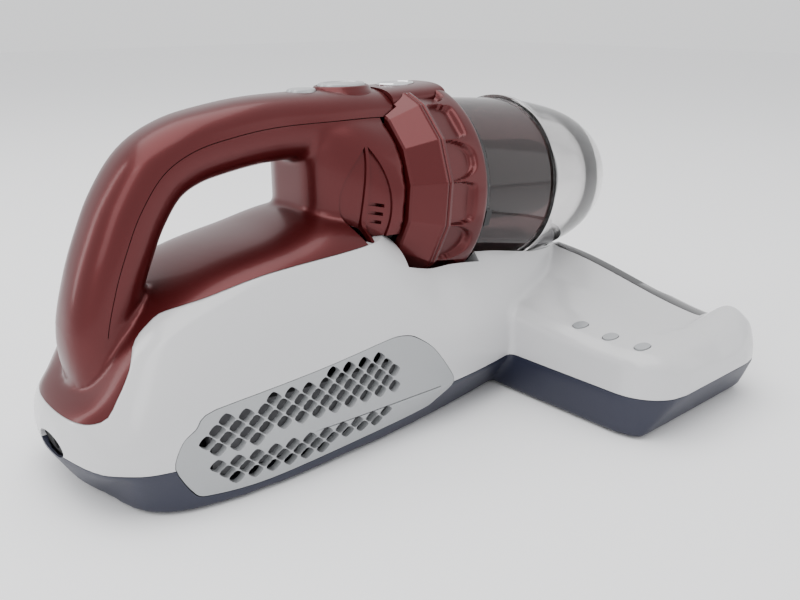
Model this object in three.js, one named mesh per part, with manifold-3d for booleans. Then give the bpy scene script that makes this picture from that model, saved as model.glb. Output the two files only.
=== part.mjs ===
// Handheld mattress vacuum: a boat-shaped white and navy body with a wide T-shaped brush head,
// a looped red handle with the suction motor at its front, and a smoked dust bin on a tilted axis.
// Millimetres, +X towards the brush head, +Y left, +Z up, standing on its rollers and feet at z = 0.
import * as THREE from 'three';
import { mergeVertices } from 'three/addons/utils/BufferGeometryUtils.js';
import Module from 'manifold-3d';

const wasm = await Module();
wasm.setup();

// ---- driving dimensions --------
const BODY_LENGTH = 242;        // rear end to the rear wall of the brush head
const BODY_HALF_WIDTH = 72;     // at the widest place, on the parting line
const HEAD_WIDTH = 332;
const HEAD_DEPTH = 116;
const PARTING_Z = 24;           // navy pan below, white shell above
const RIDE_HEIGHT = 1.2;        // pan above the floor
const HEAD_REAR_Z = 44;         // top of the brush head's rear wall
const LIP_Z_CENTRE = 66;        // crest of the brush head at its middle
const LIP_Z_TIP = 43;
const WALL = 2.6;
const GAP = 0.35;               // between pieces that touch
const SLIDE_GAP = 0.6;          // between pieces that move on each other

const AXIS_TILT = THREE.MathUtils.degToRad(4.5);    // cyclone axis, nose down
const AXIS_Z = 119.5;                               // axis height at the motor ring
const MOTOR_RING_SETBACK = 63;                      // motor ring behind the head's rear wall
const MOTOR_RING_RADIUS = 46.4;
const COLLAR_LENGTH = 47;
const COLLAR_RADIUS = 59.5;
const COLLAR_FACETS = 16;
const LOCK_RING_WIDTH = 7;
const BIN_RADIUS = 51;
const BIN_LENGTH = 58;
const BIN_RING_RADIUS = 53;
const NOSE_LENGTH = 96;
const BIN_WALL = 2.2;

const HANDLE_DROP = 5;          // top of the handle below the crown of the collar
const HANDLE_REAR_X = 26;       // middle of the rear post at its foot
const GRIP_HALF_DEPTH = 16.5;
const GRIP_HALF_WIDTH = 20;
const GRIP_WALL = 2.8;

const BRUSH_RADIUS = 16.5;
const BRUSH_CORE_RADIUS = 11;
const BRUSH_LENGTH = 250;
const LAMP_RADIUS = 6;
const LAMP_LENGTH = 190;
const ROLLER_RADIUS = 7;
const ROLLER_WIDTH = 12;

// ---- places that follow from them --------
const HALF_HEAD = HEAD_WIDTH / 2;
const HEAD_X = BODY_LENGTH;
const HEAD_FRONT_X = HEAD_X + HEAD_DEPTH;
const RING_X = HEAD_X - MOTOR_RING_SETBACK;
const LOCK_S = COLLAR_LENGTH + SLIDE_GAP;
const BIN_S = LOCK_S + LOCK_RING_WIDTH + SLIDE_GAP;
const NOSE_S = BIN_S + BIN_LENGTH + GAP;
const NOSE_TIP_S = NOSE_S + NOSE_LENGTH;
const OVERALL_LENGTH = RING_X + NOSE_TIP_S * Math.cos(AXIS_TILT);
const HANDLE_TOP_Z = AXIS_Z + COLLAR_RADIUS - HANDLE_DROP;
const GRIP_TOP_Z = HANDLE_TOP_Z - GRIP_HALF_DEPTH;

const BURGUNDY = { color: 0x6b2a2c, roughness: 0.35, metalness: 0.35 };
const WHITE = { color: 0xe9e9ea, roughness: 0.25, metalness: 0 };
const NAVY = { color: 0x262a3a, roughness: 0.45, metalness: 0 };
const VENT_GREY = { color: 0x9b9c9e, roughness: 0.5, metalness: 0.1 };
const SMOKE = { color: 0x2b2626, roughness: 0.1, metalness: 0 };
const CLEAR = { color: 0x8b8b8d, roughness: 0.05, metalness: 0 };
const BLACK = { color: 0x161618, roughness: 0.6, metalness: 0 };
const SILVER = { color: 0xb4b6b8, roughness: 0.3, metalness: 0.7 };
const STEEL = { color: 0x9a9ca0, roughness: 0.35, metalness: 1 };
const FOAM = { color: 0x54565a, roughness: 0.95, metalness: 0 };
const BOARD = { color: 0x1f5a34, roughness: 0.6, metalness: 0 };
const LAMP = { color: 0xd8d6f2, roughness: 0.08, metalness: 0 };

const vacuum = new THREE.Group();
vacuum.position.x = -OVERALL_LENGTH / 2;

// ---- tools: solids from three.js geometry, lofts and sweeps --------
function solid(geometry, matrix) {
  const bare = geometry.clone();
  bare.deleteAttribute('normal');
  bare.deleteAttribute('uv');
  if (matrix) bare.applyMatrix4(matrix);
  const merged = mergeVertices(bare, 1e-4);
  return new wasm.Manifold(new wasm.Mesh({
    numProp: 3,
    vertProperties: new Float32Array(merged.attributes.position.array),
    triVerts: new Uint32Array(merged.index.array),
  }));
}

function geometryOf(manifold) {
  const mesh = manifold.getMesh();
  const geometry = new THREE.BufferGeometry();
  geometry.setAttribute('position', new THREE.BufferAttribute(mesh.vertProperties, 3));
  geometry.setIndex(new THREE.BufferAttribute(mesh.triVerts, 1));
  return geometry;
}

// Adds a named piece.
function piece(name, shape, look) {
  const geometry = geometryOf(shape);
  geometry.computeVertexNormals();
  const mesh = new THREE.Mesh(geometry, new THREE.MeshStandardMaterial(look));
  mesh.name = name;
  vacuum.add(mesh);
}

// Closed loft through rings of points with equal counts; the two end rings are capped.
function loft(rings) {
  const count = rings[0].length;
  const positions = rings.flat().flatMap((p) => [p.x, p.y, p.z]);
  const index = [];
  for (let r = 0; r + 1 < rings.length; r += 1) {
    for (let k = 0; k < count; k += 1) {
      const a = r * count + k;
      const b = r * count + ((k + 1) % count);
      index.push(a, b, b + count, a, b + count, a + count);
    }
  }
  const last = (rings.length - 1) * count;
  for (const [a, b, c] of capTriangles(rings[0])) index.push(a, c, b);
  for (const [a, b, c] of capTriangles(rings[rings.length - 1])) index.push(last + a, last + b, last + c);
  const geometry = new THREE.BufferGeometry();
  geometry.setAttribute('position', new THREE.Float32BufferAttribute(positions, 3));
  geometry.setIndex(index);
  const made = solid(geometry);
  if (made.volume() > 0) return made;
  const turned = [];
  for (let i = 0; i < index.length; i += 3) turned.push(index[i], index[i + 2], index[i + 1]);
  geometry.setIndex(turned);
  return solid(geometry);
}

// Triangles of a flat ring, laid out in its own plane and wound with the ring.
function capTriangles(ring) {
  const centre = ring.reduce((sum, p) => sum.add(p), new THREE.Vector3()).divideScalar(ring.length);
  const normal = new THREE.Vector3();
  ring.forEach((p, k) => {
    const q = ring[(k + 1) % ring.length];
    normal.add(p.clone().sub(centre).cross(q.clone().sub(centre)));
  });
  normal.normalize();
  const across = new THREE.Vector3(normal.y, normal.z, normal.x).cross(normal).normalize();
  const along = normal.clone().cross(across);
  const flat = ring.map((p) => {
    const d = p.clone().sub(centre);
    return new THREE.Vector2(d.dot(across), d.dot(along));
  });
  return THREE.ShapeUtils.triangulateShape(flat, []);
}

// Value of a smooth table of [position, value] rows, held level past its ends.
function table(rows, at) {
  if (at <= rows[0][0]) return rows[0][1];
  for (let i = 0; i + 1 < rows.length; i += 1) {
    const [x0, y0] = rows[i];
    const [x1, y1] = rows[i + 1];
    if (at <= x1) {
      const before = rows[Math.max(i - 1, 0)];
      const after = rows[Math.min(i + 2, rows.length - 1)];
      const m0 = (y1 - before[1]) / (x1 - before[0]);
      const m1 = (after[1] - y0) / (after[0] - x0);
      const h = x1 - x0;
      const t = (at - x0) / h;
      const u = 1 - t;
      return y0 * u * u * (1 + 2 * t) + m0 * h * t * u * u + y1 * t * t * (3 - 2 * t) - m1 * h * t * t * u;
    }
  }
  return rows[rows.length - 1][1];
}

const at = (x, y, z) => new THREE.Matrix4().makeTranslation(x, y, z);
const box = (x0, x1, y0, y1, z0, z1) => solid(
  new THREE.BoxGeometry(x1 - x0, y1 - y0, z1 - z0),
  at((x0 + x1) / 2, (y0 + y1) / 2, (z0 + z1) / 2),
);
const alongY = (radius, y0, y1, x, z, sides = 18) => solid(
  new THREE.CylinderGeometry(radius, radius, y1 - y0, sides),
  at(x, (y0 + y1) / 2, z),
);
const alongZ = (radius, z0, z1, x, y, sides = 20) => solid(
  new THREE.CylinderGeometry(radius, radius, z1 - z0, sides).rotateX(Math.PI / 2),
  at(x, y, (z0 + z1) / 2),
);

// Flat outline in X and Z, pushed through from y0 to y1.
function sidePlate(points, y0, y1) {
  const ring = (y) => points.map(([x, z]) => new THREE.Vector3(x, y, z));
  return loft([ring(y0), ring(y1)]);
}

// The cyclone axis: local z runs forward along it, from the motor ring.
const axisFrame = new THREE.Matrix4()
  .makeTranslation(RING_X, 0, AXIS_Z)
  .multiply(new THREE.Matrix4().makeRotationY(Math.PI / 2 + AXIS_TILT));

// Body of revolution on the cyclone axis; the profile lists [radius, distance along the axis].
function turned(profile, sides = 28) {
  const points = profile.map(([r, s]) => new THREE.Vector2(r, s));
  const closes = profile[0][0] === 0 && profile[profile.length - 1][0] === 0;
  if (!closes) points.push(points[0].clone());
  const lathe = new THREE.LatheGeometry(points, sides).rotateX(Math.PI / 2);
  const made = solid(lathe, axisFrame);
  if (made.volume() > 0) return made;
  points.reverse();
  return solid(new THREE.LatheGeometry(points, sides).rotateX(Math.PI / 2), axisFrame);
}

const bore = (radius, s0, s1, sides = 28) => turned([[0, s0], [radius, s0], [radius, s1], [0, s1]], sides);

// ---- body shape --------
// Half widths on the parting line and at the floor, and the outline of the top, along the body.
const NECK_END = HEAD_FRONT_X - 4;
const partingHalf = [[0, 14], [3, 30], [7, 41], [14, 49], [23, 55.5], [45, 61.5], [70, 66], [110, 70],
  [150, BODY_HALF_WIDTH - 0.5], [RING_X + 15, BODY_HALF_WIDTH], [HEAD_X, 66], [HEAD_X + 28, 58],
  [HEAD_X + 60, 46], [HEAD_X + 90, 33], [NECK_END, 20]];
const floorHalf = [[0, 10], [7, 11], [14, 14], [18, 36], [23, 47], [32, 55], [45, 60], [70, 64],
  [110, 64.4], [RING_X - 14, 61.6], [HEAD_X, 51], [HEAD_X + 60, 38], [NECK_END, 14]];
const keelZ = [[0, 20], [3, 15], [7, 8.5], [14, RIDE_HEIGHT], [20, RIDE_HEIGHT], [NECK_END, RIDE_HEIGHT]];
const shoulderHalf = [[0, 10], [3, 20], [7, 26], [14, 31], [23, 36], [45, 41.5], [70, 44.5], [110, 46],
  [RING_X - 25, 46.5], [RING_X + 22, 48], [HEAD_X, 43], [HEAD_X + 28, 38], [HEAD_X + 60, 31],
    [NECK_END, 13]];
const shoulderZ = [[0, 36], [3, 41], [7, 45.5], [14, 51], [23, 62], [32, 72], [45, 81], [70, 91], [110, 99],
  [RING_X - 25, 102], [RING_X + 13, 83], [RING_X + 30, 84], [HEAD_X, 82], [HEAD_X + 28, 78],
  [HEAD_X + 60, 73], [NECK_END, 61]];
const crownZ = [[0, 38], [3, 43.5], [7, 47.5], [14, 53.5], [23, 67], [32, 78], [45, 89], [70, 102],
  [110, 110],
  [RING_X - 25, 116], [RING_X + 13, 95], [RING_X + 30, 95], [HEAD_X, 88], [HEAD_X + 28, 83],
  [HEAD_X + 60, 77], [NECK_END, 63]];
const bodyStations = [0, 1.5, 5, 10, 16, 23, 38, 62, 100, 140, RING_X - 6, RING_X + 13, RING_X + 30,
  HEAD_X, HEAD_X + 30,
  HEAD_X + 65, NECK_END];

// Right half of a body section, from the keel round to the crown, then mirrored.
function bodySection(x, inset) {
  const parting = table(partingHalf, x) - inset;
  const floor = Math.min(table(floorHalf, x) - inset, parting - 1);
  const keel = table(keelZ, x) + inset;
  const shoulder = table(shoulderHalf, x) - inset;
  const shoulderHeight = table(shoulderZ, x) - inset * 0.6;
  const crown = table(crownZ, x) - inset;
  const bulge = parting - (parting - shoulder) * 0.12;
  const bulgeZ = PARTING_Z + (shoulderHeight - PARTING_Z) * 0.62;
  const flank = new THREE.QuadraticBezierCurve(
    new THREE.Vector2(parting, PARTING_Z + 2),
    new THREE.Vector2(bulge, bulgeZ),
    new THREE.Vector2(shoulder, shoulderHeight),
  );
  const roof = new THREE.QuadraticBezierCurve(
    new THREE.Vector2(shoulder, shoulderHeight),
    new THREE.Vector2(shoulder * 0.72, crown),
    new THREE.Vector2(0, crown),
  );
  const half = [new THREE.Vector2(floor, keel), new THREE.Vector2(parting, PARTING_Z - 1)];
  half.push(...flank.getPoints(3), ...roof.getPoints(3).slice(1));
  const left = half.slice(0, -1).reverse().map((p) => new THREE.Vector2(-p.x, p.y));
  return [...half, ...left].map((p) => new THREE.Vector3(x, p.x, p.y));
}

// The whole body, moved in by inset; its rear end starts further forward by as much.
const bodyForm = (inset) => loft(bodyStations.map((x, k) => (
  bodySection(x, inset).map((p) => p.setX(k === 0 ? x + inset : x))
)));

// ---- brush head shape --------
const HEAD_CORNER = 27;
const TIP_TUCK = 12;            // the pan draws in below the parting line at the tips
const HORN_RISE = 9;            // raised end caps
const WINDOW_HALF = HALF_HEAD - 34;
const lipZ = [[0, LIP_Z_CENTRE], [45, LIP_Z_CENTRE - 5], [WINDOW_HALF, LIP_Z_TIP],
  [WINDOW_HALF + 12, LIP_Z_TIP + HORN_RISE], [HALF_HEAD - 9, LIP_Z_TIP + HORN_RISE - 3], [HALF_HEAD,
    PARTING_Z + 12]];
const rearZ = [[0, HEAD_REAR_Z + 6], [60, HEAD_REAR_Z + 2], [HALF_HEAD - 45, HEAD_REAR_Z - 2],
  [HALF_HEAD - 8, HEAD_REAR_Z - 3], [HALF_HEAD, PARTING_Z + 8]];

function headSection(y, inset) {
  const side = Math.abs(y);
  const intoCorner = Math.max(0, side - (HALF_HEAD - HEAD_CORNER));
  const round = HEAD_CORNER - Math.sqrt(Math.max(HEAD_CORNER ** 2 - intoCorner ** 2, 0));
  const rear = HEAD_X + round + inset;
  const front = HEAD_FRONT_X - round - inset;
  const keel = RIDE_HEIGHT + inset + Math.max(0,
    side - HALF_HEAD + TIP_TUCK) * (PARTING_Z - RIDE_HEIGHT) / TIP_TUCK;
  const rearTop = table(rearZ, side) - inset;
  const lip = table(lipZ, side) - inset;
  const span = front - rear;
  const top = [
    [front, PARTING_Z - 2],
    [front - 1, Math.min(PARTING_Z + 8, lip - 6)],
    [front - span * 0.05, Math.min(lip - 4, PARTING_Z + 20)],
    [front - span * 0.13, lip - 0.5],
    [front - span * 0.2, lip],
    [rear + span * 0.55, lip * 0.45 + rearTop * 0.55],
    [rear + span * 0.25, rearTop + 5],
    [rear + span * 0.1, rearTop + 4.5],
    [rear + span * 0.03, rearTop],
    [rear, PARTING_Z - 2],
  ];
  const outline = [[rear + 1, keel], [front - 5, keel], ...top];
  return outline.map(([x, z]) => new THREE.Vector3(x, y, Math.max(z, keel + 0.2)));
}

function headForm(inset) {
  const limit = HALF_HEAD - 0.5 - inset;
  const half = [HALF_HEAD - 3, HALF_HEAD - 8, HALF_HEAD - 14, WINDOW_HALF + 12, WINDOW_HALF + 3,
    WINDOW_HALF - 10, 60].filter((y) => y < limit);
  const stations = [-limit, ...half.map((y) => -y), 0, ...half.reverse(), limit];
  return loft(stations.map((y) => headSection(y, inset)));
}

const outerForm = bodyForm(0).add(headForm(0));
const innerForm = bodyForm(WALL).add(headForm(WALL));

// ---- seam between the white shell and the red handle housing --------
const SEAM_FRONT_X = RING_X + 1;
const seamZ = [[-10, 40], [0, 42], [8, 44], [14, 47.5], [19, 55], [26, 66], [31, 74], [38, 81], [47, 87],
  [67, 93], [90, 97.5], [117, 100], [RING_X - 27, 102], [SEAM_FRONT_X, 103]];
function underSeam(drop) {
  const line = [];
  for (let x = -10; x < SEAM_FRONT_X; x += 8) line.push([x, table(seamZ, x) - drop]);
  line.push([SEAM_FRONT_X, table(seamZ, SEAM_FRONT_X) - drop]);
  line.push([SEAM_FRONT_X, 200], [HEAD_FRONT_X + 60, 200], [HEAD_FRONT_X + 60, -10], [-10, -10]);
  return sidePlate(line, -HALF_HEAD - 10, HALF_HEAD + 10);
}

// Room for the bin, the lock ring and the collar, open towards the front and the top.
const CRADLE_CLEARANCE = 1.5;
const PULL_RISE = THREE.MathUtils.degToRad(5);
function axisPoint(s) {
  return new THREE.Vector3(0, 0, s).applyMatrix4(axisFrame);
}
function cradleRoom(wall) {
  const cradleRadius = BIN_RING_RADIUS + CRADLE_CLEARANCE + wall;
  const collarReach = COLLAR_RADIUS + CRADLE_CLEARANCE + wall;
  const collar = turned([[0, -1], [collarReach, -1], [collarReach, BIN_S + 1 + wall], [0,
    BIN_S + 1 + wall]]);
  const start = axisPoint(BIN_S - 10);
  const ring = axisPoint(NOSE_S);
  const end = ring.clone().add(new THREE.Vector3(Math.cos(PULL_RISE), 0,
    Math.sin(PULL_RISE)).multiplyScalar(140));
  const circle = (c) => Array.from({ length: 28 }, (_, k) => {
    const turn = (k / 28) * Math.PI * 2;
    return new THREE.Vector3(c.x, c.y + cradleRadius * Math.cos(turn), c.z + cradleRadius * Math.sin(turn));
  });
  return collar.add(loft([circle(start), circle(ring), circle(end)]));
}

// ---- vent panels: let into the flanks --------
const PANEL_REAR_X = 36;
const PANEL_FRONT_X = HEAD_X - 52;
const PANEL_LOW_Z = 8;
const PANEL_TOP_REAR_Z = 47;
const PANEL_TOP_FRONT_Z = 58;
const PANEL_THICK = 3;
function panelPrism(grow) {
  const r = PANEL_REAR_X - grow;
  const f = PANEL_FRONT_X + grow;
  return [
    [r - 4, PARTING_Z + 2], [r + 2, PARTING_Z + 14], [r + 13, PANEL_TOP_REAR_Z + grow],
    [f - 34, PANEL_TOP_FRONT_Z + grow], [f - 22, PANEL_TOP_FRONT_Z - 2 + grow], [f - 6,
      PANEL_TOP_REAR_Z - 8],
    [f, PARTING_Z], [f - 16, PANEL_LOW_Z + 3 - grow], [r + 40, PANEL_LOW_Z - 2 - grow],
    [r + 7, PANEL_LOW_Z - grow], [r, PANEL_LOW_Z + 6],
  ];
}
const sideBand = (side, near, far) => (side > 0 ? [near, far] : [-far, -near]);
function panelSkin(side, grow, depth) {
  const [y0, y1] = sideBand(side, 20, BODY_HALF_WIDTH + 5);
  return sidePlate(panelPrism(grow), y0, y1).intersect(bodyForm(0).subtract(bodyForm(depth)));
}
const GRILLE_ROWS = [
  { z0: PARTING_Z + 6, z1: PANEL_TOP_REAR_Z - 1, x0: PANEL_REAR_X + 12, x1: PANEL_FRONT_X - 34 },
  { z0: PANEL_LOW_Z + 4, z1: PARTING_Z - 4, x0: PANEL_REAR_X + 12, x1: PANEL_FRONT_X - 44 },
];
const GRILLE_SLOT = 18;
const GRILLE_BAR = 5;
function grilleHoles(side) {
  const [y0, y1] = sideBand(side, 20, BODY_HALF_WIDTH + 5);
  let holes = null;
  for (const row of GRILLE_ROWS) {
    for (let x = row.x0; x + GRILLE_SLOT < row.x1; x += GRILLE_SLOT + GRILLE_BAR) {
      const lean = 4;
      const slot = sidePlate([[x, row.z0], [x + GRILLE_SLOT, row.z0],
        [x + GRILLE_SLOT + lean, row.z1], [x + lean, row.z1]], y0, y1);
      holes = holes ? holes.add(slot) : slot;
    }
  }
  return holes;
}
for (const [side, word] of [[-1, 'right'], [1, 'left']]) {
  piece(`vent_panel_${word}`, panelSkin(side, -GAP, PANEL_THICK).subtract(grilleHoles(side)), VENT_GREY);
}
function panelHole(side) {
  const [y0, y1] = sideBand(side, 20, BODY_HALF_WIDTH + 5);
  return sidePlate(panelPrism(0), y0, y1);
}
const panelRoom = panelHole(-1).add(panelHole(1));

// ---- white shell and navy pan --------
const beyond = HALF_HEAD + 10;
const everythingX = [-10, HEAD_FRONT_X + 60];
const abovePart = box(...everythingX, -beyond, beyond, PARTING_Z + GAP / 2, 200);
const belowPart = box(...everythingX, -beyond, beyond, -10, PARTING_Z - GAP / 2);

// Dark window over the front of the brush head.
const WINDOW_SETBACK = 24;
const windowRoom = box(
  HEAD_FRONT_X - WINDOW_SETBACK, HEAD_FRONT_X + 5, -WINDOW_HALF, WINDOW_HALF, PARTING_Z - 2,
    LIP_Z_CENTRE + 5,
);
const windowSlab = box(
  HEAD_FRONT_X - WINDOW_SETBACK + GAP, HEAD_FRONT_X + 5, -WINDOW_HALF + GAP, WINDOW_HALF - GAP,
  PARTING_Z + GAP / 2, LIP_Z_CENTRE + 5,
);
const INLET_HALF_WIDTH = 14;
const INLET_HALF_HEIGHT = 5;
const INLET_Z = PARTING_Z + 2;
// Flat oval on the middle of the rear, from x0 to x1.
function inletOval(grow, x0, x1) {
  const ring = (x) => Array.from({ length: 20 }, (_, k) => {
    const turn = (k / 20) * Math.PI * 2;
    const y = (INLET_HALF_WIDTH + grow) * Math.cos(turn);
    return new THREE.Vector3(x, y, INLET_Z + (INLET_HALF_HEIGHT + grow) * Math.sin(turn));
  });
  return loft([ring(x0), ring(x1)]);
}
const MOTOR_CAVITY_RADIUS = MOTOR_RING_RADIUS - 5;
const MOTOR_RADIUS = 27;
const MOTOR_REAR_S = -22;
const MOUNT_S = -8;             // step in the cavity that the motor mount sits on
const motorCavity = bore(MOTOR_CAVITY_RADIUS, MOUNT_S, 8)
  .add(bore(MOTOR_RADIUS + 3, MOTOR_REAR_S - 4, MOUNT_S + 1));
const cradle = cradleRoom(0);
const hollow = innerForm.subtract(cradleRoom(WALL));

// Round lenses in the top of the head, each on its own spot.
const LENS_RADIUS = 4;
const LENS_SPACING = 20;
const LENS_X = HEAD_X + 17;
const lensPlaces = [-1, 0, 1].map((k) => [LENS_X, -(HALF_HEAD - 44) + k * LENS_SPACING]);
const lensPost = (x, y, radius) => alongZ(radius, PARTING_Z + 5, 90, x, y, 14);

// Port through the floor of the cradle and the wall of the bin, over the suction duct.
const DUCT_X = HEAD_X + 34;
const DUCT_HALF = [13, 12];
const PORT_RIM = 3;
const dirtPort = box(
  DUCT_X - DUCT_HALF[0] + PORT_RIM, DUCT_X + DUCT_HALF[0] - PORT_RIM,
  -DUCT_HALF[1] + PORT_RIM, DUCT_HALF[1] - PORT_RIM, 40, 75,
);

let shell = outerForm.subtract(hollow).intersect(abovePart).intersect(underSeam(GAP / 2));
shell = shell.subtract(cradle).subtract(motorCavity).subtract(panelRoom).subtract(windowRoom)
  .subtract(inletOval(0, -12, 25)).subtract(dirtPort);
for (const [x, y] of lensPlaces) shell = shell.subtract(lensPost(x, y, LENS_RADIUS + GAP));
const parts = shell.decompose().sort((a, b) => b.volume() - a.volume());
piece('upper_housing', parts[0], WHITE);
const lensSkin = headForm(-0.4).subtract(headForm(WALL));
lensPlaces.forEach(([x, y], k) => {
  piece(`indicator_lens_${k + 1}`, lensSkin.intersect(lensPost(x, y, LENS_RADIUS)), CLEAR);
});
piece('brush_window', headForm(0).subtract(headForm(WALL)).intersect(windowSlab).subtract(cradle), SMOKE);

// Pan, with the mouth of the brush, the lamp slot, the wheel wells and the foot recesses.
const MOUTH_HALF = BRUSH_LENGTH / 2 + 6;
const BRUSH_X = HEAD_FRONT_X - BRUSH_RADIUS - 17;
const BRUSH_Z = BRUSH_RADIUS + RIDE_HEIGHT + 0.6;
const MOUTH_X = [BRUSH_X - BRUSH_RADIUS - 5, BRUSH_X + BRUSH_RADIUS + 5];
const LAMP_X = MOUTH_X[0] - 18;
const LAMP_Z = 17;
const SOLE_THICK = 2.2;
const SOLE_X = [HEAD_X + 12, HEAD_FRONT_X - 7];
const SOLE_HALF = HALF_HEAD - 22;
const soleRoom = box(SOLE_X[0] - GAP, SOLE_X[1] + GAP, -SOLE_HALF - GAP, SOLE_HALF + GAP, -1,
  RIDE_HEIGHT + WALL + 1);
const ROLLER_X = HEAD_X + 26;
const ROLLER_Y = SOLE_HALF - 24;
const FOOT_X = 52;
const FOOT_Y = 38;
const FOOT_RADIUS = 8;

let pan = outerForm.subtract(innerForm).intersect(belowPart).subtract(soleRoom).subtract(panelRoom);
pan = pan.subtract(inletOval(0, -12, 25));
const SCREW_REAR_X = 96;
const SCREW_FRONT_X = RING_X + 2;
const SCREW_Y = 40;
const SCREW_HEAD_RADIUS = 3.4;
for (const y of [-FOOT_Y, FOOT_Y]) {
  pan = pan.subtract(alongZ(3, -1, 10, FOOT_X, y, 14));
}
for (const x of [SCREW_REAR_X, SCREW_FRONT_X]) {
  for (const y of [-SCREW_Y, SCREW_Y]) {
    pan = pan.subtract(alongZ(SCREW_HEAD_RADIUS + GAP, -1, 10, x, y, 14));
  }
}
const panParts = pan.decompose().sort((a, b) => b.volume() - a.volume());
piece('lower_housing', panParts[0], NAVY);

const PLUNGER_X = SOLE_X[0] + 10;
const PLUNGER_Y = 44;
const PLUNGER_RADIUS = 3.5;
let sole = box(SOLE_X[0], SOLE_X[1], -SOLE_HALF, SOLE_HALF, RIDE_HEIGHT, RIDE_HEIGHT + SOLE_THICK);
sole = sole.subtract(box(...MOUTH_X, -MOUTH_HALF, MOUTH_HALF, -1, 10));
sole = sole.subtract(box(LAMP_X - 8, LAMP_X + 8, -LAMP_LENGTH / 2, LAMP_LENGTH / 2, -1, 10));
for (const side of [-1, 1]) {
  const y = side * ROLLER_Y;
  sole = sole.subtract(box(
    ROLLER_X - ROLLER_RADIUS - 1.5, ROLLER_X + ROLLER_RADIUS + 1.5,
    y - ROLLER_WIDTH / 2 - 1.5, y + ROLLER_WIDTH / 2 + 1.5, -1, 10,
  ));
}
sole = sole.subtract(alongZ(PLUNGER_RADIUS + SLIDE_GAP, -1, 10, PLUNGER_X, PLUNGER_Y, 14));
piece('sole_plate', sole, BLACK);

// ---- red handle housing --------
// Middle line of the handle: up the rear post, round the corner and forward over the fingers.
const TOP_FRONT_X = RING_X + 12;
const handleLine = new THREE.CatmullRomCurve3([
  [HANDLE_REAR_X + 6, 38], [HANDLE_REAR_X + 2, 56], [HANDLE_REAR_X + 1, 74], [HANDLE_REAR_X + 7, 96],
    [HANDLE_REAR_X + 14, 113],
  [HANDLE_REAR_X + 22, GRIP_TOP_Z - 29], [HANDLE_REAR_X + 34, GRIP_TOP_Z - 14], [HANDLE_REAR_X + 49,
    GRIP_TOP_Z - 6],
  [HANDLE_REAR_X + 68, GRIP_TOP_Z - 2], [RING_X - 62, GRIP_TOP_Z + 0.5], [RING_X - 30, GRIP_TOP_Z + 1],
  [RING_X - 6, GRIP_TOP_Z + 1], [TOP_FRONT_X, GRIP_TOP_Z],
].map(([x, z]) => new THREE.Vector3(x, 0, z)), false, 'centripetal');
const HANDLE_STEPS = 14;
const SPLIT = 0.14;             // split line, as a part of the half depth above the middle
const gripHalfWidth = (t) => table([[0, GRIP_HALF_WIDTH - 4], [0.07, GRIP_HALF_WIDTH - 2],
  [0.14, GRIP_HALF_WIDTH], [0.72, GRIP_HALF_WIDTH], [0.87, GRIP_HALF_WIDTH + 3], [1,
    GRIP_HALF_WIDTH + 3]], t);

// Part of the rounded grip section from the split line, outwards or inwards, moved in by inset.
function gripArc(t, inset, outward, fromMiddle) {
  const depth = GRIP_HALF_DEPTH - inset;
  const width = gripHalfWidth(t) - inset;
  const start = Math.acos(Math.min(fromMiddle / GRIP_HALF_DEPTH, 0.99));
  const count = 5;
  const round = (v) => Math.sign(v) * Math.abs(v) ** 0.85;
  return Array.from({ length: count + 1 }, (_, k) => {
    const turn = outward
      ? -start + (2 * start * k) / count
      : start + (2 * (Math.PI - start) * k) / count;
    return [depth * round(Math.cos(turn)), width * round(Math.sin(turn))];
  });
}

function sweepHandle(t0, t1, section) {
  const rings = [];
  for (let i = 0; i <= HANDLE_STEPS; i += 1) {
    const t = THREE.MathUtils.lerp(t0, t1, i / HANDLE_STEPS);
    const centre = handleLine.getPointAt(t);
    const along = handleLine.getTangentAt(t);
    const out = new THREE.Vector3(-along.z, 0, along.x);
    rings.push(section(t).map(([u, v]) => centre.clone().addScaledVector(out, u)
      .add(new THREE.Vector3(0, v, 0))));
  }
  return loft(rings);
}
const channel = (t, outward, fromMiddle) => [
  ...gripArc(t, 0, outward, fromMiddle),
  ...gripArc(t, GRIP_WALL, outward, fromMiddle).reverse(),
];
const COVER_FROM = 0.15;
const splitAt = SPLIT * GRIP_HALF_DEPTH;
const coverEnd = box(-10, TOP_FRONT_X, -beyond, beyond, 0, 200);
const coverForm = sweepHandle(COVER_FROM, 1, (t) => channel(t, true, splitAt)).intersect(coverEnd);
const coverRoom = sweepHandle(COVER_FROM - 0.002, 1, (t) => [
  ...gripArc(t, -GAP, true, splitAt - 2 * GAP),
]).add(sweepHandle(COVER_FROM - 0.002, 1, (t) => [
  ...gripArc(t, 2, true, splitAt - 2 * GAP),
]));

// Swelling at the front of the finger opening, round into the motor ring.
// Each row: place, middle height, half height, half width, squareness (1 an ellipse, less is squarer).
const swelling = [
  [RING_X - 42, AXIS_Z + 10.5, 22, 13, 0.55], [RING_X - 39, AXIS_Z + 8.5, 31, 21, 0.55],
  [RING_X - 33, AXIS_Z + 6.5, 38, 28, 0.6], [RING_X - 20, AXIS_Z + 3.5, 43, 37, 0.74],
  [RING_X - 8, AXIS_Z + 1, 45.7, 43.6, 0.92], [RING_X, AXIS_Z, MOTOR_RING_RADIUS, MOTOR_RING_RADIUS, 1],
];
const BARREL_SIDES = 24;
const LEAN_LENGTH = 24;         // the last stretch of the barrel leans with the cyclone axis
const bow = (v, power) => Math.sign(v) * Math.abs(v) ** power;
const barrel = loft(swelling.map(([x, z, high, wide, power]) => Array.from({ length: BARREL_SIDES },
  (_, k) => {
  const turn = (k / BARREL_SIDES) * Math.PI * 2;
  const rise = z + high * bow(Math.sin(turn), power);
  const lean = (rise - AXIS_Z) * Math.tan(AXIS_TILT);
  const share = Math.max(0, (x - RING_X + LEAN_LENGTH) / LEAN_LENGTH);
  return new THREE.Vector3(x + lean * share, wide * bow(Math.cos(turn), power), rise);
})));
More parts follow.
